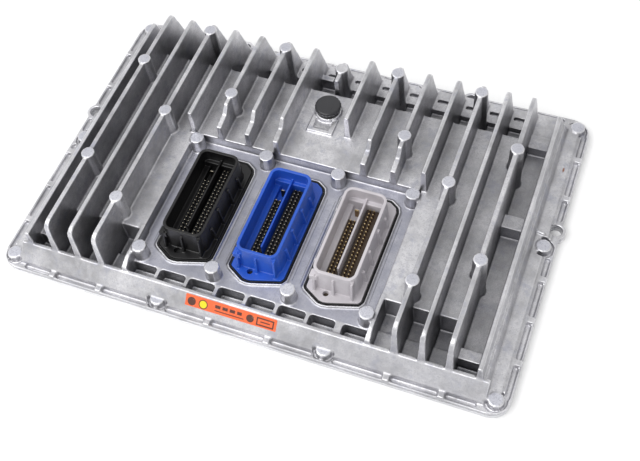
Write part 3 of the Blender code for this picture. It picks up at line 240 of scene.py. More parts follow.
# Painted highlight along the sharp cast edges.
EDGE_HIGHLIGHT = (0.95, 0.95, 0.97)
GROOVE_DARK = (0.16, 0.16, 0.18)
# Painted shade on faces turned to the front.
FRONT_SHADE = (0.34, 0.34, 0.37)
# Painted light that lifts the shaded corners of the right shelf.
SHELF_PAINTED_LIGHT = (0.90, 0.90, 0.93)
RUST = (0.30, 0.10, 0.03)
# Painted shade: the colour of deep hollows and of the floors between the fins.
PAINTED_SHADE = (0.045, 0.045, 0.052)


def cast_masks(paint, patches):
    """Shares from nought to one that say where on the casting a point lies."""
    x, y, z = paint.apart(paint.place())
    facing = paint.apart(paint.node("ShaderNodeNewGeometry", output=1))
    upright = facing[2].step(0.90, 0.97)
    # Sharp outer edges, where a highlight is painted.
    edge = paint.node("ShaderNodeNewGeometry", output=7).step(0.505, 0.560)
    # Ambient occlusion sets where shade is painted, more strongly among the fins; one means fully lit.
    open_share = paint.node("ShaderNodeAmbientOcclusion", {"samples": 6, "only_local": True},
                            {"Distance": SHADE_REACH}, 1)
    finned = x.within(*FINNED_X) * y.within(*FINNED_Y)
    lit = 1.0 - (1.0 - open_share.step(-0.22, 0.56)) * (finned * 0.65 + 0.35)
    tops = z.step(*FIN_BOSS_HEIGHTS) + z.between(*BAY_BOSS_HEIGHTS) + z.between(*FLANGE_BOSS_HEIGHTS)
    near_bay = x.within(*BAY_X) * (y - BAY_MIDDLE_Y).within(*BAY_Y) * z.between(*BAY_HEIGHTS)
    across = x.absolute()
    lines = [(across - place).absolute() for place in GROOVES_X]
    nearest = lines[0].op("MINIMUM", lines[1]).op("MINIMUM", lines[2])
    grooves = (1.0 - nearest.step(*GROOVE_WIDTH)) * (y - GROOVES_MIDDLE_Y).within(*GROOVE_LENGTH)
    rust_x, rust_y = x - RUST_PLACE[0], y - RUST_PLACE[1]
    rust = (rust_x * rust_x * 6.0 + rust_y * rust_y) ** 0.5 + (patches - 0.5) * 0.0022
    return {
        "edge": edge,
        "lit": lit,
        "tops": tops.clamp() * upright,
        "bay": near_bay * upright,
        "bay_wall": near_bay * (1.0 - upright),
        "outside_bay": 1.0 - near_bay * 0.9,
        "grooves": grooves,
        "front": (1.0 - facing[1].step(-0.80, -0.50)) * x.step(*FRONT_SHADE_X),
        # Painted light on the right shelf, only where painted shade darkens it.
        "shelf": upright * x.step(*RIGHT_SHELF_X) * (0.75 - lit).clamp(),
        "rust": (1.0 - rust.step(*RUST_REACH)) * 0.85,
    }


def cast_aluminium(name, tone, grain=1.0):
    """Die-cast skin with clouds, grain and dents, painted highlights on edges and in glints, and painted
    shade in hollows, in the header bay and on front faces.
    """
    made, paint = material(name)
    clouds = paint.noise(0.022, detail=5.0, rough=0.60)
    patches = paint.noise(0.0048, detail=4.0, rough=0.65)
    speckle = paint.noise(0.00075, detail=2.0, rough=0.7)
    mottle = paint.noise(0.0021, detail=5.0, rough=0.75)
    painted_glints = paint.noise(0.0016, detail=6.0, rough=0.85).step(0.665, 0.72)
    stains = paint.noise(0.0085, detail=6.0, rough=0.72).step(0.52, 0.68)
    streaks = paint.noise(0.0060, detail=4.0, rough=0.6, stretch=(1.0, 0.16, 0.5)).step(0.50, 0.74)
    mask = cast_masks(paint, patches)
    light = tuple(min(channel * 1.20, 1.0) for channel in tone)
    dark = tuple(channel * 0.66 for channel in tone)
    cold = (tone[0] * 0.60, tone[1] * 0.63, tone[2] * 0.76)
    dull = (tone[0] * 0.70, tone[1] * 0.71, tone[2] * 0.76)
    color = paint.mix(clouds.step(0.34, 0.66), dark, light)
    for share, over in (
            (patches.step(0.40, 0.66) * 0.55, tone),
            (stains * 0.50, cold),
            (streaks * 0.30, light),
            (mottle.step(0.44, 0.60) * 0.34 * grain, dull),
            (speckle.step(0.54, 0.66) * 0.50 * grain, dark),
            # Painted glints, white specks of highlight.
            (painted_glints * 0.8 * grain, PAINTED_GLINT),
            # Painted shade on the bay floor between the headers, mottled.
            (mask["bay"] * (patches * 0.5 + 0.30), BAY_FLOOR_SHADE),
            (mask["tops"] * 0.60, BOSS_TOP),
            ((mask["tops"] + mask["bay"] * 0.6) * speckle.step(0.50, 0.62) * 0.45, BOSS_SPECK),
            # Painted highlight on the edges, weaker in the header bay.
            (mask["edge"] * (patches * 0.7 + 0.45).clamp() * mask["outside_bay"], EDGE_HIGHLIGHT),
            # Painted shade on the walls of the bay.
            (mask["bay_wall"] * 0.45, BAY_WALL_SHADE),
            (mask["bay"] * mask["grooves"] * 0.65, GROOVE_DARK),
            # Painted shade on the front faces, growing towards the right.
            (mask["front"] * 0.38, FRONT_SHADE),
            # Painted light lifts the shaded corners of the right shelf.
            (mask["shelf"], SHELF_PAINTED_LIGHT),
            (mask["rust"], RUST)):
        color = paint.mix(share, color, over)
    # Painted shade darkens the colour where the hollows are deep.
    color = paint.mix(mask["lit"], PAINTED_SHADE, color)
    rough = clouds * 0.10 + patches * 0.16 + speckle * 0.08 + stains * 0.05 + 0.28 - mask["edge"] * 0.12
    dents = paint.cells(DENT_PITCH).step(0.0, 0.20)
    rare = paint.noise(0.010, detail=1.0).step(0.58, 0.66)
    height = speckle * 0.34 * grain + patches * 0.55 + (1.0 - dents) * rare * -0.5
    normal = paint.bump(height, strength=0.70, distance=SKIN_RELIEF)
    paint.finish(Base_Color=color, Metallic=1.0, Roughness=rough, Normal=normal)
    return made


CAST = cast_aluminium("cast_aluminium", (0.66, 0.655, 0.675))
SHEET = cast_aluminium("sheet_aluminium", (0.62, 0.62, 0.63), grain=0.6)
print("castings:", CAST.name, SHEET.name)

# %% [markdown]
# ## Moulded plastic, rubber and plated metal
# The headers are a glass-filled plastic with a faint grain and scuffs that catch the
# light. The pins are plated, the screws are zinc and the seals are dull rubber. The
# board and its parts use the same plastic with other colours.

# %% Plastics and rubber


def plastic(name, color, worn, rough):
    """Moulded plastic with grain, flow marks and pale scuffs."""
    made, paint = material(name)
    grain = paint.noise(0.00045, detail=2.0)
    flow = paint.noise(0.009, detail=3.0, rough=0.5, stretch=(1.0, 0.35, 1.0))
    scuffs = paint.noise(0.0022, detail=4.0, rough=0.75).step(0.63, 0.72)
    tone = paint.mix(flow.step(0.35, 0.68), tuple(channel * 0.86 for channel in color), color)
    tone = paint.mix(scuffs * 0.25, tone, worn)
    gloss = flow * 0.10 + grain * 0.08 + scuffs * 0.12 + (rough - 0.10)
    normal = paint.bump(grain * 0.6 + flow * 0.5, strength=0.30, distance=0.00010)
    paint.finish(Base_Color=tone, Roughness=gloss, Normal=normal)
    return made


def rubber(name):
    """Dull black rubber with dust."""
    made, paint = material(name)
    dust = paint.noise(0.0016, detail=4.0, rough=0.7).step(0.45, 0.8)
    tone = paint.mix(dust * 0.4, (0.008, 0.008, 0.009), (0.06, 0.06, 0.058))
    normal = paint.bump(paint.noise(0.0006), strength=0.3, distance=0.0001)
    paint.finish(Base_Color=tone, Roughness=dust * 0.2 + 0.6, Normal=normal)
    return made


BLACK = plastic("black_plastic", (0.0062, 0.0058, 0.0066), (0.035, 0.035, 0.035), rough=0.34)
BLUE = plastic("blue_plastic", (0.018, 0.100, 0.56), (0.10, 0.24, 0.66), rough=0.33)
GREY = plastic("grey_plastic", (0.60, 0.57, 0.60), (0.70, 0.68, 0.70), rough=0.42)
RUBBER = rubber("seal_rubber")
print("mouldings:", BLACK.name, BLUE.name, GREY.name, RUBBER.name)

# %% Plated metal and the plastics of smaller parts


def plated(name, color, shade, rough):
    """Plated metal with faint blotches in its shine."""
    made, paint = material(name)
    blotch = paint.noise(0.0012, detail=3.0, rough=0.6)
    tone = paint.mix(blotch.step(0.4, 0.7), color, shade)
    normal = paint.bump(paint.noise(0.0003), strength=0.2, distance=0.00004)
    paint.finish(Base_Color=tone, Metallic=1.0, Roughness=blotch * 0.15 + rough, Normal=normal)
    return made


DARK_FIELD = plastic("field_dark", (0.006, 0.006, 0.007), (0.012, 0.016, 0.016), rough=0.50)
BROWN_FIELD = plastic("field_brown", (0.045, 0.026, 0.013), (0.11, 0.07, 0.035), rough=0.50)
BOARD = plastic("board_green", (0.010, 0.085, 0.032), (0.05, 0.16, 0.08), rough=0.34)
CHIP = plastic("chip_black", (0.016, 0.016, 0.017), (0.04, 0.04, 0.04), rough=0.52)
PAD = plastic("thermal_pad", (0.30, 0.36, 0.44), (0.38, 0.42, 0.48), rough=0.62)
CAP = plastic("vent_plastic", (0.028, 0.028, 0.032), (0.07, 0.07, 0.07), rough=0.30)


def pin_metal(name, tip, shank, bright_from):
    """Plated pins, bright at the tip, with painted shade on the shanks below it and random darker blotches.
    """
    made, paint = material(name)
    height = paint.apart(paint.place())[2]
    # Painted shade: below the tip the pin takes the dark shank colour.
    tone = paint.mix(height.step(bright_from, bright_from + 0.0006), shank, tip)
    tone = paint.mix(paint.noise(0.0007, detail=2.0).step(0.45, 0.65) * 0.35, tone, shank)
    normal = paint.bump(paint.noise(0.0002), strength=0.2, distance=0.00003)
    rough = paint.noise(0.0005) * 0.15 + 0.16
    paint.finish(Base_Color=tone, Metallic=1.0, Roughness=rough, Normal=normal)
    return made


# The dark shank colours are painted shade below the bright tips.
TIN = pin_metal("pin_pale", (0.86, 0.78, 0.62), (0.045, 0.036, 0.028), bright_from=0.0190)
GOLD = pin_metal("pin_gold", (0.88, 0.68, 0.36), (0.26, 0.165, 0.085), bright_from=0.0183)
ZINC = plated("zinc_steel", (0.62, 0.61, 0.57), (0.50, 0.50, 0.49), rough=0.24)
CAN = plated("can_metal", (0.66, 0.66, 0.68), (0.55, 0.55, 0.58), rough=0.20)
print("plated:", GOLD.name, ZINC.name, CAN.name)

# %% [markdown]
# ## Rounding a casting
# Nothing that comes out of a die has a sharp edge. A voxel remesh rebuilds the solid
# from small cubes, smoothing rolls its outer edges and fills its inner corners as the
# die's radii do, and Decimate then spends few triangles on what stayed flat.

# %% Rounded copies of the packed solids
WELD = 0.000001


def mesh_with(thing, kind, **settings):
    """Give a thing the mesh that one modifier makes, and remove the modifier."""
    modifier = thing.modifiers.new(kind.lower(), kind)
    for name, value in settings.items():
        setattr(modifier, name, value)
    graph = bpy.context.evaluated_depsgraph_get()
    mesh = bpy.data.meshes.new_from_object(thing.evaluated_get(graph))
    thing.modifiers.clear()
    thing.data = mesh
    return thing


def add_piece(name, mesh, *materials):
    """Put a finished mesh in the scene as one piece."""
    thing = bpy.data.objects.new(name, mesh)
    bpy.context.scene.collection.objects.link(thing)
    mesh.materials.clear()
    for made in materials:
        mesh.materials.append(made)
    return thing


def triangles(mesh):
    """How many triangles a mesh has."""
    return sum(len(polygon.vertices) - 2 for polygon in mesh.polygons)


def round_off(thing, voxel, passes, budget):
    """Remesh, smooth and thin a closed mesh, and weigh its normals by face area."""
    mesh_with(thing, "REMESH", mode="VOXEL", voxel_size=voxel)
    mesh_with(thing, "SMOOTH", factor=0.5, iterations=passes)
    share = min(1.0, budget / triangles(thing.data))
    mesh_with(thing, "DECIMATE", decimate_type="COLLAPSE", ratio=share)
    for polygon in thing.data.polygons:
        polygon.use_smooth = True
    mesh_with(thing, "WEIGHTED_NORMAL", mode="FACE_AREA", weight=60)
    return thing


def wear(thing, made):
    """Give a piece one material in all its slots."""
    thing.data.materials.clear()
    thing.data.materials.append(made)


def welded_copy(name):
    """A node's mesh with its loose triangles joined."""
    shape = bmesh.new()
    shape.from_mesh(nodes[name].data)
    bmesh.ops.remove_doubles(shape, verts=shape.verts, dist=WELD)
    mesh = bpy.data.meshes.new(name + "_rounded")
    shape.to_mesh(mesh)
    shape.free()
    return mesh


HOUSING_VOXEL = 0.0004
HOUSING_TRIANGLES = 190000

housing = add_piece("housing_casting", welded_copy("housing"))
round_off(housing, HOUSING_VOXEL, passes=4, budget=HOUSING_TRIANGLES)
wear(housing, CAST)
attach(housing, "root")
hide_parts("housing")
print("housing:", triangles(housing.data), "triangles")

# %% [markdown]
# ## Moulding a header
# A header is built round its own middle from upright prisms that overlap: the flange,
# the wall of the shroud, ribs with a nub at their top, and the divider. One remesh
# turns the heap into a single moulding with small radii, which all three share.

# %% Outlines and prisms


def arc(x, y, radius, start, end, steps=8):
    """Points along an arc, with its angles in degrees."""
    angles = [math.radians(start + (end - start) * step / steps) for step in range(steps + 1)]
    return [(x + radius * math.cos(angle), y + radius * math.sin(angle)) for angle in angles]


def rounded_box(left, right, front, back, radius):
    """Outline of a rectangle with round corners."""
    return (arc(right - radius, back - radius, radius, 0, 90)
            + arc(left + radius, back - radius, radius, 90, 180)
            + arc(left + radius, front + radius, radius, 180, 270)
            + arc(right - radius, front + radius, radius, 270, 360))


def prism(outlines, bottom, top, rule=None):
    """Upright solid over a flat outline and its holes; the rule may move each point."""
    curve = bpy.data.curves.new("outline", "CURVE")
    curve.dimensions = "2D"
    curve.fill_mode = "BOTH"
    curve.extrude = (top - bottom) / 2
    for outline in outlines:
        spline = curve.splines.new("POLY")
        spline.points.add(len(outline) - 1)
        spline.use_cyclic_u = True
        for point, (x, y) in zip(spline.points, outline):
            point.co = (x, y, 0.0, 1.0)
    guide = bpy.data.objects.new("outline", curve)
    bpy.context.scene.collection.objects.link(guide)
    bpy.context.view_layer.update()
    mesh = bpy.data.meshes.new_from_object(guide.evaluated_get(bpy.context.evaluated_depsgraph_get()))
    bpy.data.objects.remove(guide, do_unlink=True)
    for vert in mesh.vertices:
        vert.co.z += (top + bottom) / 2
        if rule:
            vert.co = rule(vert.co)
    return mesh


def brick(left, right, front, back, bottom, top, rule=None):
    """Upright box as a prism."""
    return prism([[(left, front), (right, front), (right, back), (left, back)]], bottom, top, rule)


def heap(name, meshes):
    """One mesh from several, each welded and facing outwards."""
    shape = bmesh.new()
    for mesh in meshes:
        part = bmesh.new()
        part.from_mesh(mesh)
        bmesh.ops.remove_doubles(part, verts=part.verts, dist=WELD)
        bmesh.ops.recalc_face_normals(part, faces=part.faces)
        part.to_mesh(mesh)
        part.free()
        shape.from_mesh(mesh)
        bpy.data.meshes.remove(mesh)
    joined = bpy.data.meshes.new(name)
    shape.to_mesh(joined)
    shape.free()
    return joined


print("an outline with round corners has", len(rounded_box(0, 1, 0, 1, 0.2)), "points")

# %% The header's sizes
COLORS = ("black", "blue", "grey")
header_low, header_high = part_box("header_blue")
PITCH = 0.0020
RIM_TOP = header_high[2]
FLANGE_TOP = RIM_TOP - 0.0138
FLANGE_BOTTOM = FLANGE_TOP - 0.0034
FLOOR = FLANGE_TOP + 0.0006
FLANGE_LEFT, FLANGE_RIGHT = header_low[0], header_high[0]
FLANGE_FRONT, FLANGE_BACK = header_low[1], header_high[1]
SHOULDER = FLANGE_FRONT + 0.0055
SHROUD = (-0.0105, 0.0106, FLANGE_FRONT + 0.0066, FLANGE_BACK - 0.0053)
SHROUD_CORNER = 0.0045
WALL = 0.0015
WALL_DRAFT = 0.030
HEADER_X = [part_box("header_" + color)[0][0] - FLANGE_LEFT for color in COLORS]
HOLE = (-0.0034, FLANGE_FRONT + 0.0044)
HOLE_RADIUS = 0.0014
FIRST_PIN_Y = SHROUD[2] + 0.0055
LEFT_FIELD = (-0.0034, 16)
RIGHT_FIELD = (0.0036, 20)
DIVIDER_X = -0.0005
DIVIDER_TOP = FLOOR + 0.0077
LEDGE_TOP = FLOOR + 0.0029
BACK_STEP_TOP = FLOOR + 0.0062
CLEAR_HEIGHT = 0.0002
JOIN = 0.0003
RIB_HALF = 0.00045
RIB_FOOT = 0.0018
NUB_HALF = 0.0008
NUB_HEIGHT = 0.0016
RIGHT_RIBS = ((0.0096, 0.0085), (0.0186, 0.0120), (0.0306, 0.0115), (0.0401, 0.0080))
LEFT_NUBS = (0.0070, 0.0356)
FRONT_RIBS = ((-0.0092, 0.0112), (0.0001, 0.0106), (0.0092, 0.0118))
print("header stands", round((RIM_TOP - FLANGE_TOP) * 1000, 1), "mm over its flange")

# %% The moulding


def flange_outline():
    """The flange comes to a blunt tip in front and has cut corners behind."""
    cut = 0.0043
    tip = HOLE[0] + 0.0001
    right, left, back, front = FLANGE_RIGHT, FLANGE_LEFT, FLANGE_BACK, FLANGE_FRONT
    return [(right, SHOULDER + 0.0002), (right, back - cut), (right - 0.2 * cut, back - 0.55 * cut),
            (right - cut, back), (left + cut, back), (left + 0.2 * cut, back - 0.55 * cut),
            (left, back - cut), (left, SHOULDER), (left + 0.0006, SHOULDER - 0.0008),
            (tip - 0.0020, front + 0.0003), (tip, front), (tip + 0.0020, front + 0.0002),
            (right - 0.0010, SHOULDER - 0.0014)]


def drafted(co):
    """Lean the shroud's wall outwards, so that it is widest at its foot."""
    left, right, front, back = SHROUD
    out = (RIM_TOP - co.z) * WALL_DRAFT
    middle = Vector(((left + right) / 2, (front + back) / 2, co.z))
    away = co - middle
    return Vector((co.x + math.copysign(min(out, abs(away.x)), away.x),
                   co.y + math.copysign(min(out, abs(away.y)), away.y), co.z))


def wedge(foot, wall, outward):
    """A rule that makes a rib deeper towards the flange."""
    def rule(co):
        share = (RIM_TOP - co.z) / (RIM_TOP - FLANGE_TOP)
        if outward == "x" and co.x > wall:
            co.x += foot * share
        if outward == "y" and co.y < wall:
            co.y -= foot * share
        return co
    return rule


def header_heap():
    """All the prisms of one header."""
    left, right, front, back = SHROUD
    hole_x, hole_y = HOLE
    inner = rounded_box(left + WALL, right - WALL, front + WALL, back - WALL, SHROUD_CORNER - WALL)
    sunk = FLOOR - JOIN
    parts = [
        # The flange with its small hole, and the wall of the shroud.
        prism([flange_outline(), arc(*HOLE, HOLE_RADIUS, 0, 345, 23)], FLANGE_BOTTOM, FLANGE_TOP),
        prism([rounded_box(*SHROUD, SHROUD_CORNER), inner], FLANGE_BOTTOM, RIM_TOP, drafted),
        # The body below the pins, and the floor of the small hole.
        brick(left + 0.0007, right - 0.0007, front + 0.0007, back - 0.0007,
              header_low[2] + CLEAR_HEIGHT, FLOOR),
        brick(hole_x - 0.002, hole_x + 0.002, hole_y - 0.002, hole_y + 0.002,
              FLANGE_BOTTOM, FLANGE_BOTTOM + 0.0012),
        # The divider between the fields, the step behind it, and a ledge along each side.
        brick(DIVIDER_X - 0.0005, DIVIDER_X + 0.0005, front + 0.0076, back - WALL, sunk, DIVIDER_TOP),
        brick(left + 0.0010, right - 0.0010, back - WALL - 0.0019, back - 0.0005, sunk, BACK_STEP_TOP),
        brick(left + WALL, LEFT_FIELD[0] - 0.0030, front + 0.0010, back - 0.0010, sunk, LEDGE_TOP),
        brick(RIGHT_FIELD[0] + 0.0031, right - WALL, front + 0.0010, back - 0.0010, sunk, LEDGE_TOP),
    ]
    # Ribs with a nub on the right, plain ribs on the left and in front, and one catch.
    low = FLANGE_TOP - 0.0004
    for place, height in RIGHT_RIBS:
        y = front + place
        top = FLANGE_TOP + height
        parts.append(brick(right - 0.0008, right + 0.0006, y - RIB_HALF, y + RIB_HALF, low, top,
                           wedge(RIB_FOOT, right, "x")))
        parts.append(brick(right - 0.0008, right + 0.0011, y - NUB_HALF, y + NUB_HALF, top - NUB_HEIGHT, top))
    for place in LEFT_NUBS:
        y = front + place
        parts.append(brick(left - 0.0008, left + 0.0008, y - 0.0007, y + 0.0007, low, RIM_TOP - 0.0016))
    for x, height in FRONT_RIBS:
        parts.append(brick(x - 0.0006, x + 0.0006, front - 0.0006, front + 0.0028, low,
                           FLANGE_TOP + height, wedge(RIB_FOOT, front, "y")))
    parts.append(brick(left - 0.0008, left + 0.0030, front - 0.0010, front + 0.0030,
                       FLANGE_TOP + 0.0075, FLANGE_TOP + 0.0105))
    return heap("header_heap", parts)


HEADER_VOXEL = 0.00022
HEADER_TRIANGLES = 90000

moulding = add_piece("header_master", header_heap())
round_off(moulding, HEADER_VOXEL, passes=3, budget=HEADER_TRIANGLES)
print("one header:", triangles(moulding.data), "triangles")


def place_copy(name, mesh, x, made, node):
    """A copy of a mesh further along X, standing for a node."""
    piece = add_piece(name, mesh.copy(), made)
    piece.data.transform(Matrix.Translation((x, 0.0, 0.0)))
    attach(piece, "root")
    if node:
        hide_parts(node)
    return piece


for color, x, made in zip(COLORS, HEADER_X, (BLACK, BLUE, GREY)):
    place_copy("header_" + color + "_moulding", moulding.data, x, made, "header_" + color)
bpy.data.objects.remove(moulding, do_unlink=True)

# %% [markdown]
# ## Rows of pins
# Geometry Nodes repeats what is regular. A grid gives the places, one pin is put on
# each, and the copies become real mesh. The grid's rows and the pitch are inputs.

# %% A node group that fills a field with pins


class Recipe:
    """A Geometry Nodes group with named inputs, which ends in real mesh with a finish."""

    def __init__(self, name, **inputs):
        self.group = bpy.data.node_groups.new(name, "GeometryNodeTree")
        self.sockets = {}
        for key, kind in (("Geometry", "Geometry"), *inputs.items()):
            made = self.group.interface.new_socket(key, in_out="INPUT", socket_type="NodeSocket" + kind)
            self.sockets[key] = made.identifier
        self.group.interface.new_socket("Geometry", in_out="OUTPUT", socket_type="NodeSocketGeometry")
        self.enter = self.group.nodes.new("NodeGroupInput").outputs

    def add(self, kind, inputs, **settings):
        """Add a node with its settings and inputs, and hand back its outputs."""
        made = self.group.nodes.new(kind)
        for name, value in settings.items():
            setattr(made, name, value)
        for key, source in inputs.items():
            if isinstance(source, bpy.types.NodeSocket):
                self.group.links.new(source, made.inputs[key])
            else:
                made.inputs[key].default_value = source
        return made.outputs

    def end(self, copies):
        """Make the copies real, give them the finish and hand them out."""
        real = self.add("GeometryNodeRealizeInstances", {"Geometry": copies["Instances"]})
        painted = self.add("GeometryNodeSetMaterial", {
            "Geometry": real["Geometry"], "Material": self.enter["Finish"]})
        self.add("NodeGroupOutput", {"Geometry": painted["Geometry"]})
        return self


def pin_field():
    """Recipe that sets one object on the points of a grid with two columns."""
    recipe = Recipe("pin_field", Pin="Object", Rows="Int", Pitch="Float", Middle="Vector", Finish="Material")
    enter = recipe.enter
    gaps = recipe.add("ShaderNodeMath", {0: enter["Rows"], 1: 1.0}, operation="SUBTRACT")
    length = recipe.add("ShaderNodeMath", {0: gaps[0], 1: enter["Pitch"]}, operation="MULTIPLY")
    grid = recipe.add("GeometryNodeMeshGrid", {
        "Size X": enter["Pitch"], "Size Y": length[0], "Vertices X": 2, "Vertices Y": enter["Rows"]})
    moved = recipe.add("GeometryNodeTransform", {"Geometry": grid["Mesh"], "Translation": enter["Middle"]})
    pin = recipe.add("GeometryNodeObjectInfo", {"Object": enter["Pin"]})
    copies = recipe.add("GeometryNodeInstanceOnPoints", {
        "Points": moved["Geometry"], "Instance": pin["Geometry"]})
    return recipe.end(copies)


def grown(name, recipe, values, start=None):
    """The mesh that a recipe makes from its named inputs."""
    thing = bpy.data.objects.new(name, start or bpy.data.meshes.new(name))
    bpy.context.scene.collection.objects.link(thing)
    modifier = thing.modifiers.new(name, "NODES")
    modifier.node_group = recipe.group
    for key, value in values.items():
        modifier[recipe.sockets[key]] = value
    bpy.context.view_layer.update()
    mesh = bpy.data.meshes.new_from_object(thing.evaluated_get(bpy.context.evaluated_depsgraph_get()))
    bpy.data.objects.remove(thing, do_unlink=True)
    return mesh


def pointed_pin(width, height):
    """A square pin whose top is a blunt point."""
    half = width / 2
    shape = bmesh.new()
    bmesh.ops.create_cube(shape, size=1.0)
    for vert in shape.verts:
        top = vert.co.z > 0
        vert.co.x *= width
        vert.co.y *= width
        vert.co.z = height - half if top else -CLEAR_HEIGHT
    crown = [face for face in shape.faces if face.calc_center_median().z > height / 2 and face.normal.z > 0.5]
    bmesh.ops.inset_individual(shape, faces=crown, thickness=half * 0.55, depth=0.0)
    for vert in crown[0].verts:
        vert.co.z = height
    mesh = bpy.data.meshes.new("pin")
    shape.to_mesh(mesh)
    shape.free()
    return mesh


PIN_WIDTH = 0.00060
PIN_HEIGHT = 0.0056
BLADE_WIDTH = 0.0022
BLADE_GAP = 0.0061

pin = add_piece("pin_master", pointed_pin(PIN_WIDTH, PIN_HEIGHT))
pin_recipe = pin_field()
fields = []
for middle_x, rows in (LEFT_FIELD, RIGHT_FIELD):
    middle = (middle_x, FIRST_PIN_Y + (rows - 1) * PITCH / 2, FLOOR)
    fields.append(grown("pins", pin_recipe, {
        "Pin": pin, "Rows": rows, "Pitch": PITCH, "Middle": middle, "Finish": GOLD}))
blade = pointed_pin(PIN_WIDTH, PIN_HEIGHT)
blade_y = FIRST_PIN_Y + (LEFT_FIELD[1] - 1) * PITCH + BLADE_GAP
widen = Matrix.Diagonal((BLADE_WIDTH / PIN_WIDTH, 1, 1, 1))
blade.transform(Matrix.Translation((LEFT_FIELD[0], blade_y, FLOOR)) @ widen)
fields.append(blade)
pin_mesh = heap("pins", fields)
for color, x, made in zip(COLORS, HEADER_X, (TIN, TIN, GOLD)):
    place_copy("header_" + color + "_pins", pin_mesh, x, made, None)

# A thin plate fills each field round the pins, and a dark plug closes the small hole as painted shade in it.
PLATE_RISE = 0.0027
SHADE_PLUG_HALF = 0.0018
LEFT_REACH, RIGHT_REACH = (0.0029, 0.0023), (0.0030, 0.0030)
field_parts = [brick(HOLE[0] - SHADE_PLUG_HALF, HOLE[0] + SHADE_PLUG_HALF, HOLE[1] - SHADE_PLUG_HALF, HOLE[1] + SHADE_PLUG_HALF,
                     FLANGE_BOTTOM + 0.0010, FLANGE_BOTTOM + 0.0014)]
for (middle_x, rows), reach in ((LEFT_FIELD, LEFT_REACH), (RIGHT_FIELD, RIGHT_REACH)):
    field_parts.append(brick(middle_x - reach[0], middle_x + reach[1], FIRST_PIN_Y - 0.0020,
                             FIRST_PIN_Y + (rows - 1) * PITCH + 0.0016, FLOOR - JOIN, FLOOR + PLATE_RISE))
field_mesh = heap("field_plates", field_parts)
for color, x, made in zip(COLORS, HEADER_X, (DARK_FIELD, DARK_FIELD, BROWN_FIELD)):
    place_copy("header_" + color + "_field", field_mesh, x, made, None)
bpy.data.objects.remove(pin, do_unlink=True)
print("pins a header:", LEFT_FIELD[1] * 2 + RIGHT_FIELD[1] * 2 + 1)

# %% [markdown]
# ## The breather
# A push-in cap with a chamfered top and a knurled rim, turned round its own axis. The
# knurl is a cosine that moves the rim's points in and out.

# %% The breather's cap


def turned(name, profile, steps, knurl=(0, 0.0, 0.0, -1.0)):
    """Round solid from radius and height pairs, from the top's middle to the bottom's.

    A knurl is how many ridges, how deep they are, and the heights between which they run."""
    ridges, depth, knurl_low, knurl_high = knurl
    shape = bmesh.new()
    rings = []
    for radius, height in profile:
        ring = []
        for step in range(steps):
            angle = 2 * math.pi * step / steps
            reach = radius
            if knurl_low <= height <= knurl_high:
                reach += depth * math.cos(ridges * angle)
            ring.append(shape.verts.new((reach * math.cos(angle), reach * math.sin(angle), height)))
        rings.append(ring)
    for upper, lower in zip(rings, rings[1:]):
        for step in range(steps):
            after = (step + 1) % steps
            shape.faces.new((upper[step], lower[step], lower[after], upper[after]))
    shape.faces.new(rings[0])
    shape.faces.new(list(reversed(rings[-1])))
    bmesh.ops.recalc_face_normals(shape, faces=shape.faces)
    mesh = bpy.data.meshes.new(name)
    shape.to_mesh(mesh)
    shape.free()
    return mesh


CAP_THICKNESS = 0.0024
CAP_EDGE = 0.0012
CAP_DROP = 0.0001
STEM_RADIUS = 0.0026
CAP_RIDGES = 24
RIDGE_DEPTH = 0.00016

cap_low, cap_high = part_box("vent_cap")
cap_radius = (cap_high[0] - cap_low[0]) / 2
cap_top = cap_high[2]
cap_under = cap_top - CAP_THICKNESS
cap_profile = [(0.0006, cap_top + 0.00005), (cap_radius * 0.45, cap_top + 0.00002),
               (cap_radius - CAP_EDGE - 0.0004, cap_top - CAP_DROP)]
for degrees in range(0, 91, 15):
    bend = math.radians(degrees)
    cap_profile.append((cap_radius - CAP_EDGE + CAP_EDGE * math.sin(bend),
                        cap_top - CAP_DROP - CAP_EDGE * 0.8 * (1 - math.cos(bend))))
cap_profile += [(cap_radius, cap_under + 0.0003), (cap_radius - 0.0003, cap_under),
                (STEM_RADIUS, cap_under), (STEM_RADIUS, cap_low[2]), (0.0009, cap_low[2])]
cap_mesh = turned("vent_cap", cap_profile, 144,
                  (CAP_RIDGES, RIDGE_DEPTH, cap_under + 0.0002, cap_top - 0.0008))
cap_mesh.transform(Matrix.Translation(((cap_low[0] + cap_high[0]) / 2, (cap_low[1] + cap_high[1]) / 2, 0.0)))
for polygon in cap_mesh.polygons:
    polygon.use_smooth = True
cap = add_piece("breather_cap", cap_mesh, CAP)
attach(cap, "root")
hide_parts("vent_cap")
print("cap:", triangles(cap.data), "triangles")

# %% [markdown]
# ## The strip on the front slope
# A thin orange strip lies on the sloping wall. It has plain shapes and no words.

# %% The orange strip
STRIP_ENDS = (-0.0276, 0.0183)
STRIP_LOW = (-0.0793, 0.0078)
STRIP_HIGH = (-0.0753, 0.0120)
STRIP_THICKNESS = 0.00012

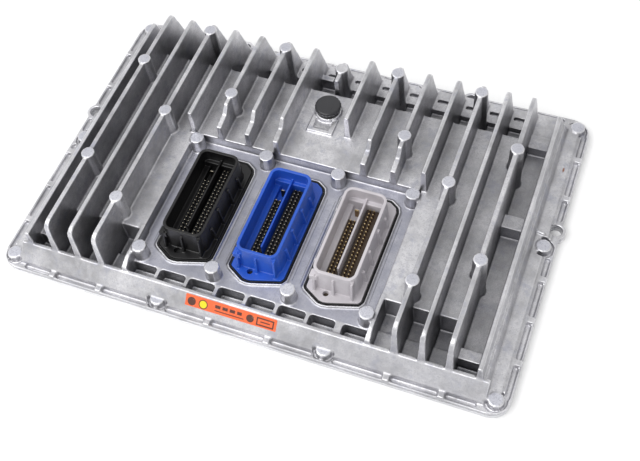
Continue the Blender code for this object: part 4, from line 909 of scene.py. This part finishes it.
# Left, right, low and high of a bar, and the middle and the radius of a spot, in metres.
BARS = ((-0.0125, -0.0098, 0.0028, 0.0044), (-0.0088, -0.0061, 0.0028, 0.0044),
        (-0.0051, -0.0024, 0.0028, 0.0044), (-0.0014, 0.0010, 0.0028, 0.0044),
        (-0.0125, 0.0022, 0.0013, 0.0018), (0.0104, 0.0152, 0.0025, 0.0031))
FRAME_OUTSIDE, FRAME_INSIDE = (0.0084, 0.0171, 0.0008, 0.0048), (0.0091, 0.0164, 0.0015, 0.0041)
DARK_SPOTS = ((-0.0244, 0.0027, 0.0021), (-0.0185, 0.0027, 0.0023), (0.0052, 0.0029, 0.0019))
YELLOW_SPOT = (-0.0185, 0.0027, 0.0018)
BAR_SOFT, SPOT_SOFT = 0.00012, 0.00015
ORANGE, PALE_ORANGE, DARK_INK = (0.86, 0.125, 0.035), (0.95, 0.18, 0.060), (0.040, 0.028, 0.025)
YELLOW, SCUFFED = (0.90, 0.72, 0.02), (0.80, 0.50, 0.40)


def strip_paint(width):
    """Orange film with plain dark and yellow shapes, placed in metres along the strip."""
    made, paint = material("orange_strip")
    x, y, z = paint.apart(paint.place())
    along = (z - STRIP_LOW[1]) * (width / (STRIP_HIGH[1] - STRIP_LOW[1]))

    def bar(left, right, low, high):
        inside_x = x.between(left - BAR_SOFT, left + BAR_SOFT, right - BAR_SOFT, right + BAR_SOFT)
        return inside_x * along.between(low - BAR_SOFT, low + BAR_SOFT, high - BAR_SOFT, high + BAR_SOFT)

    def spot(middle_x, middle_y, radius):
        away_x, away_y = x - middle_x, along - middle_y
        reach = (away_x * away_x + away_y * away_y) ** 0.5
        return 1.0 - reach.step(radius - SPOT_SOFT, radius + SPOT_SOFT)

    dark = bar(*FRAME_OUTSIDE) - bar(*FRAME_INSIDE)
    for shape in BARS:
        dark = dark + bar(*shape)
    for shape in DARK_SPOTS:
        dark = dark + spot(*shape)
    tone = paint.mix(paint.noise(0.004, detail=3.0), ORANGE, PALE_ORANGE)
    tone = paint.mix(dark.clamp() * 0.93, tone, DARK_INK)
    tone = paint.mix(spot(*YELLOW_SPOT), tone, YELLOW)
    tone = paint.mix(paint.noise(0.0011, detail=4.0, rough=0.7).step(0.60, 0.72) * 0.4, tone, SCUFFED)
    paint.finish(Base_Color=tone, Roughness=paint.noise(0.001) * 0.1 + 0.32)
    return made


def strip_mesh():
    """A rounded strip in the plane of the slope, just proud of it."""
    slope = Vector((0.0, STRIP_HIGH[0] - STRIP_LOW[0], STRIP_HIGH[1] - STRIP_LOW[1]))
    width = slope.length
    slope.normalize()
    normal = Vector((1.0, 0.0, 0.0)).cross(slope)

    def rule(co):
        return Vector((co.x, *STRIP_LOW)) + slope * co.y + normal * co.z

    outline = rounded_box(STRIP_ENDS[0], STRIP_ENDS[1], 0.0, width, 0.0004)
    return prism([outline], -0.0002, STRIP_THICKNESS, rule), width


strip_surface, strip_width = strip_mesh()
strip = add_piece("orange_strip", heap("orange_strip", [strip_surface]), strip_paint(strip_width))
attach(strip, "root")
print("strip:", round((STRIP_ENDS[1] - STRIP_ENDS[0]) * 1000, 1), "x", round(strip_width * 1000, 1), "mm")

# %% [markdown]
# ## Underneath
# Ten countersunk screws with a hexagon socket hold the sheet cover. Geometry Nodes
# sets one screw on each point, and the points come from the packed screws.

# %% Screws of the cover
COVER_SCREWS = ["cover_screw_" + str(number) for number in range(1, 11)]
SHANK_RADIUS = 0.0016


def copies_on_points():
    """Recipe that sets one object on each point of a mesh, turned at random about Z."""
    recipe = Recipe("copies_on_points", Piece="Object", Turn="Float", Finish="Material")
    enter = recipe.enter
    piece = recipe.add("GeometryNodeObjectInfo", {"Object": enter["Piece"]})
    limit = recipe.add("ShaderNodeCombineXYZ", {"Z": enter["Turn"]})
    turns = recipe.add("FunctionNodeRandomValue", {"Min": (0.0, 0.0, 0.0), "Max": limit[0], "Seed": 7},
                       data_type="FLOAT_VECTOR")
    copies = recipe.add("GeometryNodeInstanceOnPoints", {
        "Points": enter["Geometry"], "Instance": piece["Geometry"], "Rotation": turns[0]})
    return recipe.end(copies)


def socket_screw(radius, shank, reach):
    """Countersunk screw, head down, with a hexagon socket in its face."""
    lip = 0.00012
    deep = 0.0011
    socket = radius * 0.52
    profile = [(0.0002, reach), (shank - 0.0003, reach), (shank, reach - 0.0003),
               (shank, radius - shank + 0.0002), (radius - lip * 0.5, lip), (radius - lip, 0.0),
               (radius * 0.56, 0.0), (socket, 0.0001), (socket, deep), (0.0002, deep)]
    mesh = turned("cover_screw", profile, 48)
    for vert in mesh.vertices:
        away = math.hypot(vert.co.x, vert.co.y)
        if abs(away - socket) < 0.00001 and 0.00005 < vert.co.z < deep + 0.00001:
            angle = math.atan2(vert.co.y, vert.co.x) % (math.pi / 3) - math.pi / 6
            grow = math.cos(math.pi / 6) / math.cos(angle)
            vert.co.x *= grow
            vert.co.y *= grow
    return mesh


screw_low, screw_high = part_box(COVER_SCREWS[0])
screw_radius = (screw_high[0] - screw_low[0]) / 2
screw_shape = socket_screw(screw_radius, SHANK_RADIUS, screw_high[2] - screw_low[2])
screw = add_piece("screw_master", screw_shape, ZINC)
corners = [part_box(name) for name in COVER_SCREWS]
points = bpy.data.meshes.new("screw_points")
points.from_pydata([((low[0] + high[0]) / 2, (low[1] + high[1]) / 2, low[2]) for low, high in corners],
                   [], [])
screw_mesh = grown("cover_screws", copies_on_points(), {
    "Piece": screw, "Turn": 2 * math.pi, "Finish": ZINC}, points)
screws = add_piece("cover_screws_set", screw_mesh, ZINC)
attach(screws, "root")
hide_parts(*COVER_SCREWS)
bpy.data.objects.remove(screw, do_unlink=True)
print("screws:", triangles(screws.data), "triangles")

# %% The sheet cover with broken edges
cover_shape = bmesh.new()
cover_shape.from_mesh(welded_copy("base_cover"))
bmesh.ops.dissolve_limit(cover_shape, angle_limit=0.01, verts=cover_shape.verts, edges=cover_shape.edges)
cover_mesh = bpy.data.meshes.new("base_cover_sheet")
cover_shape.to_mesh(cover_mesh)
cover_shape.free()
cover = add_piece("base_cover_sheet", cover_mesh, SHEET)
mesh_with(cover, "BEVEL", width=0.00025, segments=2, limit_method="ANGLE", angle_limit=0.9)
mesh_with(cover, "TRIANGULATE")
wear(cover, SHEET)
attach(cover, "root")
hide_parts("base_cover")
print("cover:", triangles(cover.data), "triangles")

# %% [markdown]
# ## What keeps its solid
# The seals, the gasket and all that is inside have the right shape as they are, so
# they only get a finish. Their slots come from the packed materials' names.

# %% Finishes for the carried-over nodes
FINISHES = {"board_green": BOARD, "chip_black": CHIP, "thermal_pad": PAD, "sheet_aluminium": SHEET,
            "black_plastic": BLACK, "blue_plastic": BLUE, "grey_plastic": GREY,
            "seal_rubber": RUBBER, "zinc_steel": ZINC, "can_metal": CAN}


def record_slots():
    """Which slot the record gives each node."""
    found = {}
    for name, thing in nodes.items():
        if thing.data.materials and thing.data.materials[0]:
            found[name] = thing.data.materials[0].name.split(".")[0]
    return found


SLOTS = record_slots()
for name, slot in SLOTS.items():
    if slot in FINISHES:
        for place in nodes[name].material_slots:
            place.material = FINISHES[slot]
print("slots:", sorted(set(SLOTS.values())))

# %% [markdown]
# ## A pale studio
# The floor is a plain pale sheet. The world is a soft tent that is brighter over the
# left and the front than on the right, as the shading on the fins shows, and one
# large lamp in front gives the cast edges their white line, with a painted highlight
# in the casting's colour adding to it.

# %% Floor, world and lamps
FLOOR_SIZE = 12.0
FLOOR_GAP = 0.0002
FLOOR_COLOR = (0.96, 0.96, 0.96, 1.0)
EVEN_LIGHT, FRONT_LIGHT, BACK_LEFT_LIGHT = 0.56, 0.14, 0.34

floor_mesh = bpy.data.meshes.new("floor")
half = FLOOR_SIZE / 2
floor_mesh.from_pydata([(-half, -half, 0.0), (half, -half, 0.0), (half, half, 0.0), (-half, half, 0.0)], [],
                       [(0, 1, 2, 3)])
floor = bpy.data.objects.new("floor", floor_mesh)
bpy.context.scene.collection.objects.link(floor)
floor_made, paint = material("floor_pale")
paint.finish(Base_Color=FLOOR_COLOR, Roughness=0.9)
floor_mesh.materials.append(floor_made)
floor.location.z = -FLOOR_GAP

world = bpy.data.worlds.new("tent")
bpy.context.scene.world = world
sky = Paint(world)
east, north = sky.apart(sky.node("ShaderNodeTexCoord", output=0))[:2]
left = 1.0 - east.step(0.0, 0.5)
behind = north.step(-0.3, 0.3)
tent = left * behind * BACK_LEFT_LIGHT + (1.0 - behind) * FRONT_LIGHT + EVEN_LIGHT
light = sky.node("ShaderNodeBackground", {}, {"Color": (1.0, 1.0, 1.0, 1.0), "Strength": tent})
sky.node_out(light, "ShaderNodeOutputWorld")


def softbox(name, place, aim, width, height, power):
    """A large soft lamp that looks at a point."""
    lamp = bpy.data.lights.new(name, "AREA")
    lamp.shape = "RECTANGLE"
    lamp.size = width
    lamp.size_y = height
    lamp.energy = power
    thing = bpy.data.objects.new(name, lamp)
    bpy.context.scene.collection.objects.link(thing)
    thing.location = place
    thing.rotation_euler = (Vector(aim) - Vector(place)).to_track_quat("-Z", "Y").to_euler()
    return thing


softbox("key_over_front", place=(-0.7, -1.1, 2.1), aim=(0.0, 0.0, 0.0), width=2.4, height=1.6, power=38.0)

# %% [markdown]
# ## The last step
# The view transform is Standard, so that a colour renders as it is written.

# %% The view transform
bpy.context.scene.view_settings.view_transform = "Standard"
